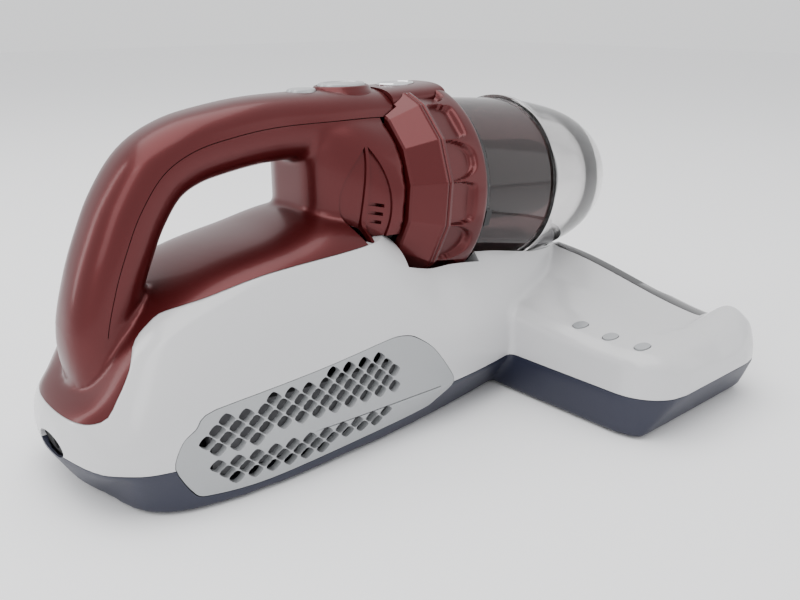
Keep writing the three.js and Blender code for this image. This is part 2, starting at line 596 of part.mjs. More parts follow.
const overSeam = box(-10, RING_X + 12, -beyond, beyond, 0, 200).subtract(underSeam(-GAP / 2));
const gripInner = sweepHandle(0, 1, (t) => gripArc(t, 0, false, splitAt - GAP));
const gripHollow = sweepHandle(0.03, 0.97, (t) => gripArc(t, GRIP_WALL, false, splitAt + 4));
const deck = bodyForm(0).intersect(box(-10, RING_X - 10, -beyond, beyond, 0, 200));
const red = deck.subtract(bodyForm(WALL))
  .add(gripInner.subtract(gripHollow))
  .add(barrel.subtract(motorCavity))
  .intersect(overSeam)
  .subtract(coverRoom)
  .subtract(motorCavity);
const redParts = red.decompose().sort((a, b) => b.volume() - a.volume());
piece('handle_housing', redParts[0], BURGUNDY);

// Buttons on the top of the cover.
const POWER_X = RING_X - 6;
const MODE_X = RING_X - 32;
const BUTTON_TRAVEL = 2;
const COVER_TOP_Z = HANDLE_TOP_Z + 1;
function oval(x, halfLong, halfWide, z0, z1, sides = 20) {
  const ring = (z, trim) => Array.from({ length: sides }, (_, k) => {
    const turn = (k / sides) * Math.PI * 2;
    return new THREE.Vector3(x + (halfLong - trim) * Math.cos(turn), (halfWide - trim) * Math.sin(turn), z);
  });
  return { ring, block: loft([ring(z0, 0), ring(z1, 0)]), domed: loft([ring(z0, 0), ring(z1 - 0.8, 0),
    ring(z1, 1)]) };
}
const POWER_HALF = [14, 10];
const MODE_HALF = [8, 6.5];
const SKIRT = 2.2;
const skirt = oval(POWER_X, POWER_HALF[0] + SKIRT, POWER_HALF[1] + SKIRT, GRIP_TOP_Z + 8,
  COVER_TOP_Z + 1.6).domed;
const powerHole = oval(POWER_X, POWER_HALF[0] + SLIDE_GAP, POWER_HALF[1] + SLIDE_GAP, GRIP_TOP_Z,
  200).block;
const modeHole = oval(MODE_X, MODE_HALF[0] + SLIDE_GAP, MODE_HALF[1] + SLIDE_GAP, GRIP_TOP_Z, 200).block;
piece('handle_cover', coverForm.add(skirt.intersect(coverEnd)).subtract(powerHole).subtract(modeHole),
  BURGUNDY);
piece('power_button', oval(POWER_X, ...POWER_HALF, COVER_TOP_Z - 4, COVER_TOP_Z + 3).domed, SILVER);
piece('mode_button', oval(MODE_X, ...MODE_HALF, COVER_TOP_Z - 4, COVER_TOP_Z + 1.4).domed, SILVER);
const switchTop = COVER_TOP_Z - 4 - BUTTON_TRAVEL - SLIDE_GAP;
const SWITCH_LIFT = 1.59;       // underside of the power switch above the split line
const switchFoot = GRIP_TOP_Z + 1 + splitAt + SWITCH_LIFT;
piece('power_switch', box(POWER_X - 9, POWER_X + 9, -7, 7, switchFoot, switchTop), BLACK);
piece('mode_switch', box(MODE_X - 5, MODE_X + 5, -5, 5, switchFoot + 1, switchTop), BLACK);

// Saddle bridge from the cover over the collar, with an oval badge.
const BRIDGE_HALF = 21;
const BRIDGE_REAR_X = TOP_FRONT_X + GAP;
const bridgeFront = axisPoint(COLLAR_LENGTH);
const BRIDGE_FRONT_X = bridgeFront.x + COLLAR_RADIUS * Math.sin(AXIS_TILT);
const COLLAR_CROWN_Z = bridgeFront.z + COLLAR_RADIUS * Math.cos(AXIS_TILT);
const bridgeTop = [[BRIDGE_REAR_X, HANDLE_TOP_Z + 0.6], [BRIDGE_FRONT_X, COLLAR_CROWN_Z + 0.4]];
function bridgeRing(x, grow) {
  const top = table(bridgeTop, x) + grow;
  const low = bridgeFront.z + COLLAR_RADIUS - 16 - (x - BRIDGE_FRONT_X) * Math.tan(AXIS_TILT) - grow;
  const half = BRIDGE_HALF + grow;
  const profile = [[half, low], [half, top - 6.5], [half * 0.85, top - 3.2], [half * 0.5, top - 0.9],
    [0, top]];
  const mirrored = profile.slice(0, -1).reverse().map(([y, z]) => [-y, z]);
  return [...profile, ...mirrored].map(([y, z]) => new THREE.Vector3(x, y, z));
}
const bridgeForm = (grow) => loft([
  bridgeRing(BRIDGE_REAR_X - (grow ? 20 : 0), grow), bridgeRing((BRIDGE_REAR_X + BRIDGE_FRONT_X) / 2, grow),
  bridgeRing(BRIDGE_FRONT_X + (grow ? 9 : 0), grow),
]);
const BADGE_X = (BRIDGE_REAR_X + BRIDGE_FRONT_X) / 2;
const badgeTop = table(bridgeTop, BADGE_X);
const BADGE_HALF = [12, 8];
const badgeSeat = badgeTop - 1.6;
const badgeRoom = oval(BADGE_X, BADGE_HALF[0] + GAP, BADGE_HALF[1] + GAP, badgeSeat - GAP, 200).block;
const aheadOfCollar = bore(COLLAR_RADIUS + 30, COLLAR_LENGTH, COLLAR_LENGTH + 30, 8);
piece('top_bridge', bridgeForm(0).subtract(badgeRoom).subtract(aheadOfCollar), BURGUNDY);
piece('badge', oval(BADGE_X, ...BADGE_HALF, badgeSeat, badgeTop + 1).domed, SILVER);

// ---- faceted collar, lock ring and dust bin --------
const COLLAR_BORE = MOTOR_RING_RADIUS - 3;
const collarProfile = [[MOTOR_RING_RADIUS - 0.5, 0], [MOTOR_RING_RADIUS + 2, 1],
  [COLLAR_RADIUS - 3.6, 17], [COLLAR_RADIUS - 2.1, 20], [COLLAR_RADIUS - 1, 25],
  [COLLAR_RADIUS, COLLAR_LENGTH - 5], [COLLAR_RADIUS - 0.5, COLLAR_LENGTH]];
function collarRing(radius, s) {
  const facet = (2 * Math.PI) / COLLAR_FACETS;
  const count = COLLAR_FACETS * 2;
  return Array.from({ length: count }, (_, k) => {
    const turn = (k / count) * Math.PI * 2;
    const reach = k % 2 ? radius : radius * Math.cos(facet / 2) ** (s > 24 || s < 2 ? 0 : 1);
    return new THREE.Vector3(reach * Math.cos(turn), reach * Math.sin(turn), s).applyMatrix4(axisFrame);
  });
}
const collarStart = GAP + 0.2;
const collar = loft(collarProfile.map(([r, s]) => collarRing(r, Math.max(s, collarStart))))
  .subtract(bore(COLLAR_BORE, -5, COLLAR_LENGTH + 5))
  .subtract(bridgeForm(GAP))
  .subtract(box(RING_X - 5, BRIDGE_REAR_X, -BRIDGE_HALF - 5, BRIDGE_HALF + 5, GRIP_TOP_Z, 200))
  .subtract(box(BRIDGE_REAR_X, BRIDGE_FRONT_X, -BRIDGE_HALF, BRIDGE_HALF, HANDLE_TOP_Z - 2, 200));
piece('collar', collar.decompose().sort((a, b) => b.volume() - a.volume())[0], BURGUNDY);

const LOCK_RADIUS = COLLAR_RADIUS - 3;
let lock = turned([[COLLAR_BORE, LOCK_S], [LOCK_RADIUS, LOCK_S], [LOCK_RADIUS,
  LOCK_S + LOCK_RING_WIDTH - 2],
  [LOCK_RADIUS - 2, LOCK_S + LOCK_RING_WIDTH], [COLLAR_BORE, LOCK_S + LOCK_RING_WIDTH]]);
for (const turn of [40, 160, 280]) {
  const lug = solid(new THREE.BoxGeometry(4, 10, LOCK_RING_WIDTH - 2.5), new THREE.Matrix4()
    .multiply(axisFrame)
    .multiply(new THREE.Matrix4().makeRotationZ(THREE.MathUtils.degToRad(turn)))
    .multiply(at(LOCK_RADIUS, 0, LOCK_S + LOCK_RING_WIDTH / 2 - 0.5)));
  lock = lock.add(lug);
}
piece('lock_ring', lock, BLACK);

const binShell = turned([[COLLAR_BORE, BIN_S], [BIN_RADIUS, BIN_S], [BIN_RADIUS, BIN_S + BIN_LENGTH],
  [BIN_RADIUS - BIN_WALL, BIN_S + BIN_LENGTH], [BIN_RADIUS - BIN_WALL, BIN_S + 3], [COLLAR_BORE,
    BIN_S + 3]]);
piece('dust_bin', binShell.subtract(dirtPort), SMOKE);

// Nose profile, as parts of its ring radius and its length.
const noseProfile = [[1, 0], [1, 0.042], [0.966, 0.057], [0.951, 0.146], [0.925, 0.271], [0.877, 0.438],
  [0.811, 0.583], [0.717, 0.708], [0.575, 0.823], [0.406, 0.906], [0.208, 0.974], [0, 1]];
const noseOuter = noseProfile.map(([r, d]) => [r * BIN_RING_RADIUS, NOSE_S + d * NOSE_LENGTH]);
const BIN_INNER = BIN_RADIUS - BIN_WALL;
const noseInner = [[0, 0.953], [0.264, 0.906], [0.453, 0.813], [0.585, 0.7], [0.7, 0.583], [0.83, 0.4]]
  .map(([r, d]) => [r * BIN_RING_RADIUS, NOSE_S + d * NOSE_LENGTH]);
noseInner.push([BIN_INNER, NOSE_S + 8], [BIN_INNER, NOSE_S]);
piece('bin_nose', turned([...noseOuter, ...noseInner], 22), CLEAR);

const SHROUD_RADIUS = 25;
const SHROUD_LENGTH = 96;
const shroudS = BIN_S + 3 + GAP;
piece('cyclone_shroud', turned([[SHROUD_RADIUS - 2, shroudS], [BIN_RADIUS - BIN_WALL - 1, shroudS],
  [BIN_RADIUS - BIN_WALL - 1, shroudS + 2.5], [SHROUD_RADIUS, shroudS + 5], [SHROUD_RADIUS,
    shroudS + SHROUD_LENGTH - 8],
  [SHROUD_RADIUS - 8, shroudS + SHROUD_LENGTH], [0, shroudS + SHROUD_LENGTH], [0,
    shroudS + SHROUD_LENGTH - 2.5],
  [SHROUD_RADIUS - 9, shroudS + SHROUD_LENGTH - 2.5], [SHROUD_RADIUS - 2,
    shroudS + SHROUD_LENGTH - 9]], 24), BLACK);
piece('bin_filter', turned([[12, shroudS], [SHROUD_RADIUS - 3, shroudS], [SHROUD_RADIUS - 3,
  shroudS + SHROUD_LENGTH - 14],
  [12, shroudS + SHROUD_LENGTH - 14]], 20), FOAM);

// ---- motor, fan and filter on the same axis --------
const SHAFT_RADIUS = 3;
piece('suction_motor', turned([
  [0, MOTOR_REAR_S], [MOTOR_RADIUS - 4, MOTOR_REAR_S], [MOTOR_RADIUS, MOTOR_REAR_S + 5], [MOTOR_RADIUS, 8],
  [MOTOR_RADIUS - 4, 11], [7, 11], [7, 14], [SHAFT_RADIUS, 14], [SHAFT_RADIUS, 25], [0, 25],
], 20), STEEL);
piece('motor_mount', turned([
  [MOTOR_RADIUS + 1, MOUNT_S + 1], [MOTOR_CAVITY_RADIUS - 1, MOUNT_S + 1],
  [MOTOR_CAVITY_RADIUS - 1, MOUNT_S + 9], [MOTOR_RADIUS + 1, MOUNT_S + 9],
], 20), BLACK);
const FAN_RADIUS = 38;
const FAN_S = 15;
const FAN_BLADES = 7;
let fan = turned([[SHAFT_RADIUS + GAP, FAN_S], [FAN_RADIUS, FAN_S], [FAN_RADIUS, FAN_S + 1.2],
  [9, FAN_S + 1.2], [8, FAN_S + 7], [SHAFT_RADIUS + GAP, FAN_S + 7]], 20);
for (let k = 0; k < FAN_BLADES; k += 1) {
  const blade = solid(new THREE.BoxGeometry(27, 1.2, 5), new THREE.Matrix4()
    .multiply(axisFrame)
    .multiply(new THREE.Matrix4().makeRotationZ((k / FAN_BLADES) * Math.PI * 2))
    .multiply(at(22.5, 5, FAN_S + 3)));
  fan = fan.add(blade);
}
piece('fan', fan, STEEL);
piece('motor_filter', turned([[0, 29], [COLLAR_BORE - 1, 29], [COLLAR_BORE - 1, 41], [0, 41]], 24), FOAM);

// ---- brush drive --------
const SHAFT_END = BRUSH_LENGTH / 2 + 18;
const BRISTLE_ROWS = 4;
const BRISTLE_STEPS = 6;
let brush = alongY(BRUSH_CORE_RADIUS, -BRUSH_LENGTH / 2, BRUSH_LENGTH / 2, BRUSH_X, BRUSH_Z, 16);
brush = brush.add(alongY(SHAFT_RADIUS, -SHAFT_END, SHAFT_END, BRUSH_X, BRUSH_Z, 10));
for (let row = 0; row < BRISTLE_ROWS; row += 1) {
  const rings = [];
  for (let i = 0; i <= BRISTLE_STEPS; i += 1) {
    const y = (BRUSH_LENGTH - 8) * (i / BRISTLE_STEPS - 0.5);
    const turn = (row / BRISTLE_ROWS) * Math.PI * 2 + Math.abs(i / BRISTLE_STEPS - 0.5) * Math.PI * 1.2;
    const out = new THREE.Vector3(Math.cos(turn), 0, Math.sin(turn));
    const side = new THREE.Vector3(-out.z, 0, out.x);
    const centre = new THREE.Vector3(BRUSH_X, y, BRUSH_Z);
    rings.push([[BRUSH_CORE_RADIUS - 1.5, -2], [BRUSH_RADIUS, -1.2], [BRUSH_RADIUS, 1.2],
      [BRUSH_CORE_RADIUS - 1.5, 2]]
      .map(([r, w]) => centre.clone().addScaledVector(out, r).addScaledVector(side, w)));
  }
  brush = brush.add(loft(rings));
}
piece('brush_roll', brush, BLACK);
const PULLEY_Y = [BRUSH_LENGTH / 2 + 1, BRUSH_LENGTH / 2 + 9];
const BRUSH_PULLEY_RADIUS = 9;
const MOTOR_PULLEY_RADIUS = 4.5;
const DRIVE_X = HEAD_X + 22;
const DRIVE_Z = 24;
const DRIVE_RADIUS = 12;
const DRIVE_Y = [58, 106];
const toothed = (radius, x, z, hole) => alongY(radius, ...PULLEY_Y, x, z, 16)
  .subtract(alongY(hole, PULLEY_Y[0] - 1, PULLEY_Y[1] + 1, x, z, 10));
piece('brush_pulley', toothed(BRUSH_PULLEY_RADIUS, BRUSH_X, BRUSH_Z, SHAFT_RADIUS + GAP), BLACK);
piece('motor_pulley', toothed(MOTOR_PULLEY_RADIUS, DRIVE_X, DRIVE_Z, 1.5 + GAP), STEEL);
piece('brush_motor', alongY(DRIVE_RADIUS, ...DRIVE_Y, DRIVE_X, DRIVE_Z, 18)
  .add(alongY(4, DRIVE_Y[1] - 1, DRIVE_Y[1] + 4, DRIVE_X, DRIVE_Z, 16))
  .add(alongY(1.5, DRIVE_Y[1], PULLEY_Y[1], DRIVE_X, DRIVE_Z, 12)), STEEL);

// Loop round two wheels: a half turn round each, joined by straights.
function beltLoop(grow) {
  const slope = Math.atan2(BRUSH_Z - DRIVE_Z, BRUSH_X - DRIVE_X);
  const arc = (x, z, radius, from) => Array.from({ length: 9 }, (_, k) => {
    const turn = from + slope + (Math.PI * k) / 8;
    return [x + (radius + grow) * Math.cos(turn), z + (radius + grow) * Math.sin(turn)];
  });
  return [...arc(BRUSH_X, BRUSH_Z, BRUSH_PULLEY_RADIUS, -Math.PI / 2),
    ...arc(DRIVE_X, DRIVE_Z, MOTOR_PULLEY_RADIUS, Math.PI / 2)];
}
const BELT_THICK = 1.4;
piece('drive_belt', sidePlate(beltLoop(SLIDE_GAP + BELT_THICK), PULLEY_Y[0] + 1, PULLEY_Y[1] - 1)
  .subtract(sidePlate(beltLoop(SLIDE_GAP), PULLEY_Y[0], PULLEY_Y[1])), BLACK);

const soleTop = RIDE_HEIGHT + SOLE_THICK + GAP;
for (const [side, word] of [[-1, 'right'], [1, 'left']]) {
  const [b0, b1] = sideBand(side, SHAFT_END - 6, SHAFT_END - 1);
  const block = box(BRUSH_X - 8, BRUSH_X + 8, b0, b1, soleTop, BRUSH_Z + 9)
    .subtract(alongY(SHAFT_RADIUS + GAP, b0 - 1, b1 + 1, BRUSH_X, BRUSH_Z, 16));
  piece(`brush_bearing_${word}`, block, BLACK);
}

// ---- lamp, rollers and small pieces underneath --------
const lampEnd = LAMP_LENGTH / 2;
piece('uv_lamp', alongY(LAMP_RADIUS, -lampEnd + 8, lampEnd - 8, LAMP_X, LAMP_Z, 18)
  .add(alongY(2, -lampEnd + 1, lampEnd - 1, LAMP_X, LAMP_Z, 10)), LAMP);
for (const [side, word] of [[-1, 'right'], [1, 'left']]) {
  const [h0, h1] = sideBand(side, lampEnd - 6, lampEnd + 2);
  const holder = box(LAMP_X - 7, LAMP_X + 7, h0, h1, soleTop + 3, LAMP_Z + 8)
    .subtract(alongY(2 + GAP, h0 - 1, h1 + 1, LAMP_X, LAMP_Z, 12));
  piece(`lamp_holder_${word}`, holder, WHITE);
}
piece('lamp_cover', box(LAMP_X - 8 + GAP, LAMP_X + 8 - GAP, -lampEnd + GAP, lampEnd - GAP, RIDE_HEIGHT,
  RIDE_HEIGHT + 2), CLEAR);

const AXLE_RADIUS = 1.6;
for (const [side, word] of [[-1, 'right'], [1, 'left']]) {
  const y = side * ROLLER_Y;
  const half = ROLLER_WIDTH / 2;
  piece(`roller_${word}`, alongY(ROLLER_RADIUS, y - half, y + half, ROLLER_X, ROLLER_RADIUS, 18)
    .subtract(alongY(AXLE_RADIUS + GAP, y - half - 1, y + half + 1, ROLLER_X, ROLLER_RADIUS, 12)), BLACK);
  piece(`roller_axle_${word}`, alongY(AXLE_RADIUS, y - half - 4, y + half + 4, ROLLER_X, ROLLER_RADIUS,
    12), STEEL);
}

// Button under the sole that keeps the lamp dark until the head rests on something.
const PLUNGER_LIFT = 0.3;
const PLUNGER_TRAVEL = 0.8;
piece('lamp_plunger', alongZ(PLUNGER_RADIUS, PLUNGER_LIFT, RIDE_HEIGHT + SOLE_THICK + 3, PLUNGER_X,
  PLUNGER_Y, 14), WHITE);
piece('lamp_switch', box(PLUNGER_X - 7, PLUNGER_X + 7, PLUNGER_Y - 5, PLUNGER_Y + 5,
  RIDE_HEIGHT + SOLE_THICK + 3 + PLUNGER_TRAVEL + SLIDE_GAP, RIDE_HEIGHT + SOLE_THICK + 12), BLACK);

// Duct that lifts the dirt from the brush chamber to the port in the bin.
const ductTop = axisPoint(NOSE_S).z - BIN_RING_RADIUS - CRADLE_CLEARANCE - WALL - 3;
const ductFoot = RIDE_HEIGHT + SOLE_THICK + 20;
const ductBox = (trim, low, high) => box(
  DUCT_X - DUCT_HALF[0] + trim, DUCT_X + DUCT_HALF[0] - trim, -DUCT_HALF[1] + trim,
    DUCT_HALF[1] - trim, low, high,
);
piece('suction_duct', ductBox(0, ductFoot, ductTop).subtract(ductBox(2, ductFoot - 1, ductTop + 1)), BLACK);

// Foam behind each vent panel.
const FOAM_THICK = 5;
for (const [side, word] of [[-1, 'right'], [1, 'left']]) {
  const [y0, y1] = sideBand(side, 20, BODY_HALF_WIDTH + 5);
  const foam = box(PANEL_REAR_X + 14, PANEL_FRONT_X - 34, y0, y1, PANEL_LOW_Z + 6, PANEL_TOP_REAR_Z - 2)
    .intersect(bodyForm(PANEL_THICK + 2 * GAP).subtract(bodyForm(PANEL_THICK + FOAM_THICK)));
  piece(`exhaust_filter_${word}`, foam, FOAM);
}

// Cord inlet: an oval plug at the middle of the rear, with a round hole for the cord.
const CORD_RADIUS = 3.5;
const inletPlug = inletOval(-GAP, 2.5, 10).add(inletOval(2, WALL + 3, WALL + 6));
const cordHole = solid(new THREE.CylinderGeometry(CORD_RADIUS, CORD_RADIUS, 40,
  14).rotateZ(Math.PI / 2), at(5, 0, INLET_Z));
const rearWall = bodyForm(0).subtract(bodyForm(WALL + GAP)).subtract(inletOval(-GAP, -12, 25));
piece('cord_inlet', inletPlug.subtract(cordHole).subtract(rearWall), BLACK);

// Control board on four short legs over the floor of the pan.
const BOARD_X = [RING_X + 8, HEAD_X - 8];
const BOARD_HALF = 32;
const BOARD_Z = RIDE_HEIGHT + WALL + 6;
let board = box(...BOARD_X, -BOARD_HALF, BOARD_HALF, BOARD_Z, BOARD_Z + 1.6);
board = board.add(box(BOARD_X[0] + 6, BOARD_X[0] + 24, -20, 4, BOARD_Z + 1, BOARD_Z + 15));
board = board.add(alongZ(6, BOARD_Z + 1, BOARD_Z + 20, BOARD_X[1] - 14, 16, 12));
for (const x of [BOARD_X[0] + 4, BOARD_X[1] - 4]) {
  for (const y of [-BOARD_HALF + 4, BOARD_HALF - 4]) {
    board = board.add(alongZ(2, RIDE_HEIGHT + WALL + GAP, BOARD_Z + 1, x, y, 8));
  }
}
piece('control_board', board, BOARD);

// Feet pressed into the pan, and the screws that close it.
for (const [side, word] of [[-1, 'right'], [1, 'left']]) {
  piece(`foot_${word}`, alongZ(FOOT_RADIUS, 0, RIDE_HEIGHT - GAP, FOOT_X, side * FOOT_Y, 20)
    .add(alongZ(3 - GAP, 0.2, 8, FOOT_X, side * FOOT_Y, 12)), BLACK);
}
for (const [x, end] of [[SCREW_REAR_X, 'rear'], [SCREW_FRONT_X, 'front']]) {
  for (const [side, word] of [[-1, 'right'], [1, 'left']]) {
    piece(`screw_${end}_${word}`, alongZ(SCREW_HEAD_RADIUS, RIDE_HEIGHT + 0.4, RIDE_HEIGHT + 2.4, x,
      side * SCREW_Y, 14)
      .add(alongZ(1.5, RIDE_HEIGHT + 1, 16, x, side * SCREW_Y, 8)), STEEL);
  }
}
export default vacuum;
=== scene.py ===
import math

import bpy
import numpy as np
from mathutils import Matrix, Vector


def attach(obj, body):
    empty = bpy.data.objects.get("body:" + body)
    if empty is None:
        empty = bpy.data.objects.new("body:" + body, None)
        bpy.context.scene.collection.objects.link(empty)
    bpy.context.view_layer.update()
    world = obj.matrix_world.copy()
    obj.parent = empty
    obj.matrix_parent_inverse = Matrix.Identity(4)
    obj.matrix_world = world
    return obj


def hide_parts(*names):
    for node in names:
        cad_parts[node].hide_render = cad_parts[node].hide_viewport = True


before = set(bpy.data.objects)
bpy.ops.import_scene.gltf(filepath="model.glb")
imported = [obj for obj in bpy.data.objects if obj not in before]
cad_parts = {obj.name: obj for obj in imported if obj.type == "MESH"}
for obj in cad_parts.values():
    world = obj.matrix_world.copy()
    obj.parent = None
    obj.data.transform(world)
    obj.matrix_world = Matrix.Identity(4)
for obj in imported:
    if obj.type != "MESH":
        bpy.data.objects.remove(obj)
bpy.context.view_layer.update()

# Camera and room: a seamless pale floor under broad soft lamps, seen from behind and to the right.
# Lengths in the sections below are millimetres from the vacuum's rear end; MM turns them to metres.
MM = 0.001
REAR_X = -193.95
FOCAL_LENGTH = 38.3
CAMERA_PLACE = Vector((-0.3049, -0.3676, 0.217))
CAMERA_YAW = math.radians(48.47)
CAMERA_PITCH = math.radians(19.18)
camera = bpy.data.objects.new("camera", bpy.data.cameras.new("camera"))
camera.data.lens = FOCAL_LENGTH
camera.data.clip_start = 0.01
camera.location = CAMERA_PLACE
look = Vector((
    math.cos(CAMERA_PITCH) * math.cos(CAMERA_YAW),
    math.cos(CAMERA_PITCH) * math.sin(CAMERA_YAW),
    -math.sin(CAMERA_PITCH),
))
camera.rotation_euler = look.to_track_quat("-Z", "Y").to_euler()
bpy.context.scene.collection.objects.link(camera)
bpy.context.scene.camera = camera

world = bpy.data.worlds.new("room")
world.use_nodes = True
world.node_tree.nodes["Background"].inputs["Color"].default_value = (0.98, 0.985, 1.0, 1.0)
world.node_tree.nodes["Background"].inputs["Strength"].default_value = 1.15
bpy.context.scene.world = world


def area_lamp(name, place, target, width, height, power):
    """A rectangular soft lamp at place, turned to face target."""
    lamp = bpy.data.lights.new(name, "AREA")
    lamp.shape = "RECTANGLE"
    lamp.size = width
    lamp.size_y = height
    lamp.energy = power
    lamp_object = bpy.data.objects.new(name, lamp)
    lamp_object.location = place
    lamp_object.rotation_euler = (Vector(target) - Vector(place)).to_track_quat("-Z", "Y").to_euler()
    bpy.context.scene.collection.objects.link(lamp_object)


area_lamp("top_softbox", (-0.2, 0.1, 1.3), (0, 0, 0.05), 1.6, 1.2, 16)
area_lamp("side_softbox", (-1.2, -0.5, 0.9), (0, 0, 0.1), 0.5, 1.0, 4)
area_lamp("rear_strip", (-1.0, 0.7, 0.6), (-0.1, 0, 0.1), 0.2, 1.0, 3)
area_lamp("front_fill", (0.9, -1.0, 0.5), (0.1, 0, 0.05), 0.9, 0.9, 1.5)


def make(name, points, faces, sharp=35):
    """A mesh object from points in millimetres and lists of corner numbers, smooth but for edges over
    sharp."""
    placed = np.array(points, float).reshape(-1, 3) * MM
    placed[:, 0] += REAR_X * MM
    mesh = bpy.data.meshes.new(name)
    mesh.from_pydata(placed.tolist(), [], faces)
    mesh.validate()
    made = bpy.data.objects.new(name, mesh)
    bpy.context.scene.collection.objects.link(made)
    smooth(made, sharp)
    return made


def smooth(piece, sharp=35):
    """Smooth shading with hard edges where two faces meet at more than sharp degrees."""
    piece.data.polygons.foreach_set("use_smooth", [True] * len(piece.data.polygons))
    piece.data.set_sharp_from_angle(angle=math.radians(sharp))


def plain_material(name, colour, roughness, metallic=0.0):
    """A material with a Principled shader and nothing linked yet; returns it with its tree and shader."""
    material = bpy.data.materials.new(name)
    material.use_nodes = True
    shader = material.node_tree.nodes["Principled BSDF"]
    shader.inputs["Base Color"].default_value = (*colour, 1.0)
    shader.inputs["Roughness"].default_value = roughness
    shader.inputs["Metallic"].default_value = metallic
    return material, material.node_tree, shader


FLOOR_COLOUR = (0.91, 0.91, 0.915)
floor_material, floor_tree, floor_shader = plain_material("pale_floor", FLOOR_COLOUR, 0.6)
floor_noise = floor_tree.nodes.new("ShaderNodeTexNoise")
floor_noise.inputs["Scale"].default_value = 3.0
floor_ramp = floor_tree.nodes.new("ShaderNodeValToRGB")
floor_ramp.color_ramp.elements[0].color = (0.945, 0.945, 0.95, 1)
floor_ramp.color_ramp.elements[1].color = (0.96, 0.96, 0.965, 1)
floor_tree.links.new(floor_noise.outputs["Fac"], floor_ramp.inputs["Fac"])
floor_tree.links.new(floor_ramp.outputs["Color"], floor_shader.inputs["Base Color"])
FLOOR_HALF = 4000
floor = make("floor", [(-FLOOR_HALF, -FLOOR_HALF, 0), (FLOOR_HALF, -FLOOR_HALF, 0),
                       (FLOOR_HALF, FLOOR_HALF, 0), (-FLOOR_HALF, FLOOR_HALF, 0)], [(0, 1, 2, 3)])
floor.data.materials.append(floor_material)


# Surface effects that several finishes share, each a node group with its own inputs.
# "moulded_skin" gives the slight waviness and grain of moulded plastic, as a normal and a mask;
# "settled_dust" gives a thin film on faces that look up, as a mask.
def new_group(name, inputs, outputs):
    """An empty shader group with float inputs [(name, value)] and outputs [(name, socket type)]."""
    group = bpy.data.node_groups.new(name, "ShaderNodeTree")
    for socket_name, value in inputs:
        socket = group.interface.new_socket(socket_name, in_out="INPUT", socket_type="NodeSocketFloat")
        socket.default_value = value
    for socket_name, kind in outputs:
        group.interface.new_socket(socket_name, in_out="OUTPUT", socket_type=kind)
    return group, group.nodes.new("NodeGroupInput"), group.nodes.new("NodeGroupOutput")


def moulded_skin_group():
    """Fine grain and a broad slow wave on Object coordinates, bumped together; Mask is the wave alone."""
    group, given, result = new_group(
        "moulded_skin",
        [("Grain Scale", 900.0), ("Grain Depth", 0.1), ("Wave Scale", 35.0), ("Wave Depth", 0.1)],
        [("Normal", "NodeSocketVector"), ("Mask", "NodeSocketFloat")],
    )
    nodes, links = group.nodes, group.links
    place = nodes.new("ShaderNodeTexCoord")
    grain = nodes.new("ShaderNodeTexNoise")
    wave = nodes.new("ShaderNodeTexNoise")
    grain.inputs["Detail"].default_value = 3.0
    links.new(place.outputs["Object"], grain.inputs["Vector"])
    links.new(place.outputs["Object"], wave.inputs["Vector"])
    links.new(given.outputs["Grain Scale"], grain.inputs["Scale"])
    links.new(given.outputs["Wave Scale"], wave.inputs["Scale"])
    fine = nodes.new("ShaderNodeBump")
    fine.inputs["Distance"].default_value = 0.0002
    broad = nodes.new("ShaderNodeBump")
    broad.inputs["Distance"].default_value = 0.001
    links.new(given.outputs["Grain Depth"], fine.inputs["Strength"])
    links.new(grain.outputs["Fac"], fine.inputs["Height"])
    links.new(given.outputs["Wave Depth"], broad.inputs["Strength"])
    links.new(wave.outputs["Fac"], broad.inputs["Height"])
    links.new(broad.outputs["Normal"], fine.inputs["Normal"])
    links.new(fine.outputs["Normal"], result.inputs["Normal"])
    links.new(wave.outputs["Fac"], result.inputs["Mask"])
    return group


def settled_dust_group():
    """Dust lies where the face looks up and a cloudy noise lets it: Mask = up-facing share x noise x
    Amount."""
    group, given, result = new_group("settled_dust", [("Amount", 0.15)], [("Mask", "NodeSocketFloat")])
    nodes, links = group.nodes, group.links
    place = nodes.new("ShaderNodeTexCoord")
    shape = nodes.new("ShaderNodeNewGeometry")
    split = nodes.new("ShaderNodeSeparateXYZ")
    links.new(shape.outputs["Normal"], split.inputs["Vector"])
    facing = nodes.new("ShaderNodeMapRange")
    facing.inputs["From Min"].default_value = 0.2
    links.new(split.outputs["Z"], facing.inputs["Value"])
    cloud = nodes.new("ShaderNodeTexNoise")
    cloud.inputs["Scale"].default_value = 60.0
    cloud.inputs["Detail"].default_value = 6.0
    links.new(place.outputs["Object"], cloud.inputs["Vector"])
    both = nodes.new("ShaderNodeMath")
    both.operation = "MULTIPLY"
    links.new(facing.outputs["Result"], both.inputs[0])
    links.new(cloud.outputs["Fac"], both.inputs[1])
    scaled = nodes.new("ShaderNodeMath")
    scaled.operation = "MULTIPLY"
    links.new(both.outputs["Value"], scaled.inputs[0])
    links.new(given.outputs["Amount"], scaled.inputs[1])
    links.new(scaled.outputs["Value"], result.inputs["Mask"])
    return group


moulded_skin = moulded_skin_group()
settled_dust = settled_dust_group()


def place_group(tree, group, **values):
    """Puts a group in a material's tree and sets its inputs, named with _ for each space."""
    node = tree.nodes.new("ShaderNodeGroup")
    node.node_tree = group
    for key, value in values.items():
        node.inputs[key.replace("_", " ")].default_value = value
    return node


def vary(tree, mask, low, high):
    """A value that runs from low to high with the mask."""
    node = tree.nodes.new("ShaderNodeMapRange")
    node.inputs["To Min"].default_value = low
    node.inputs["To Max"].default_value = high
    tree.links.new(mask, node.inputs["Value"])
    return node.outputs["Result"]


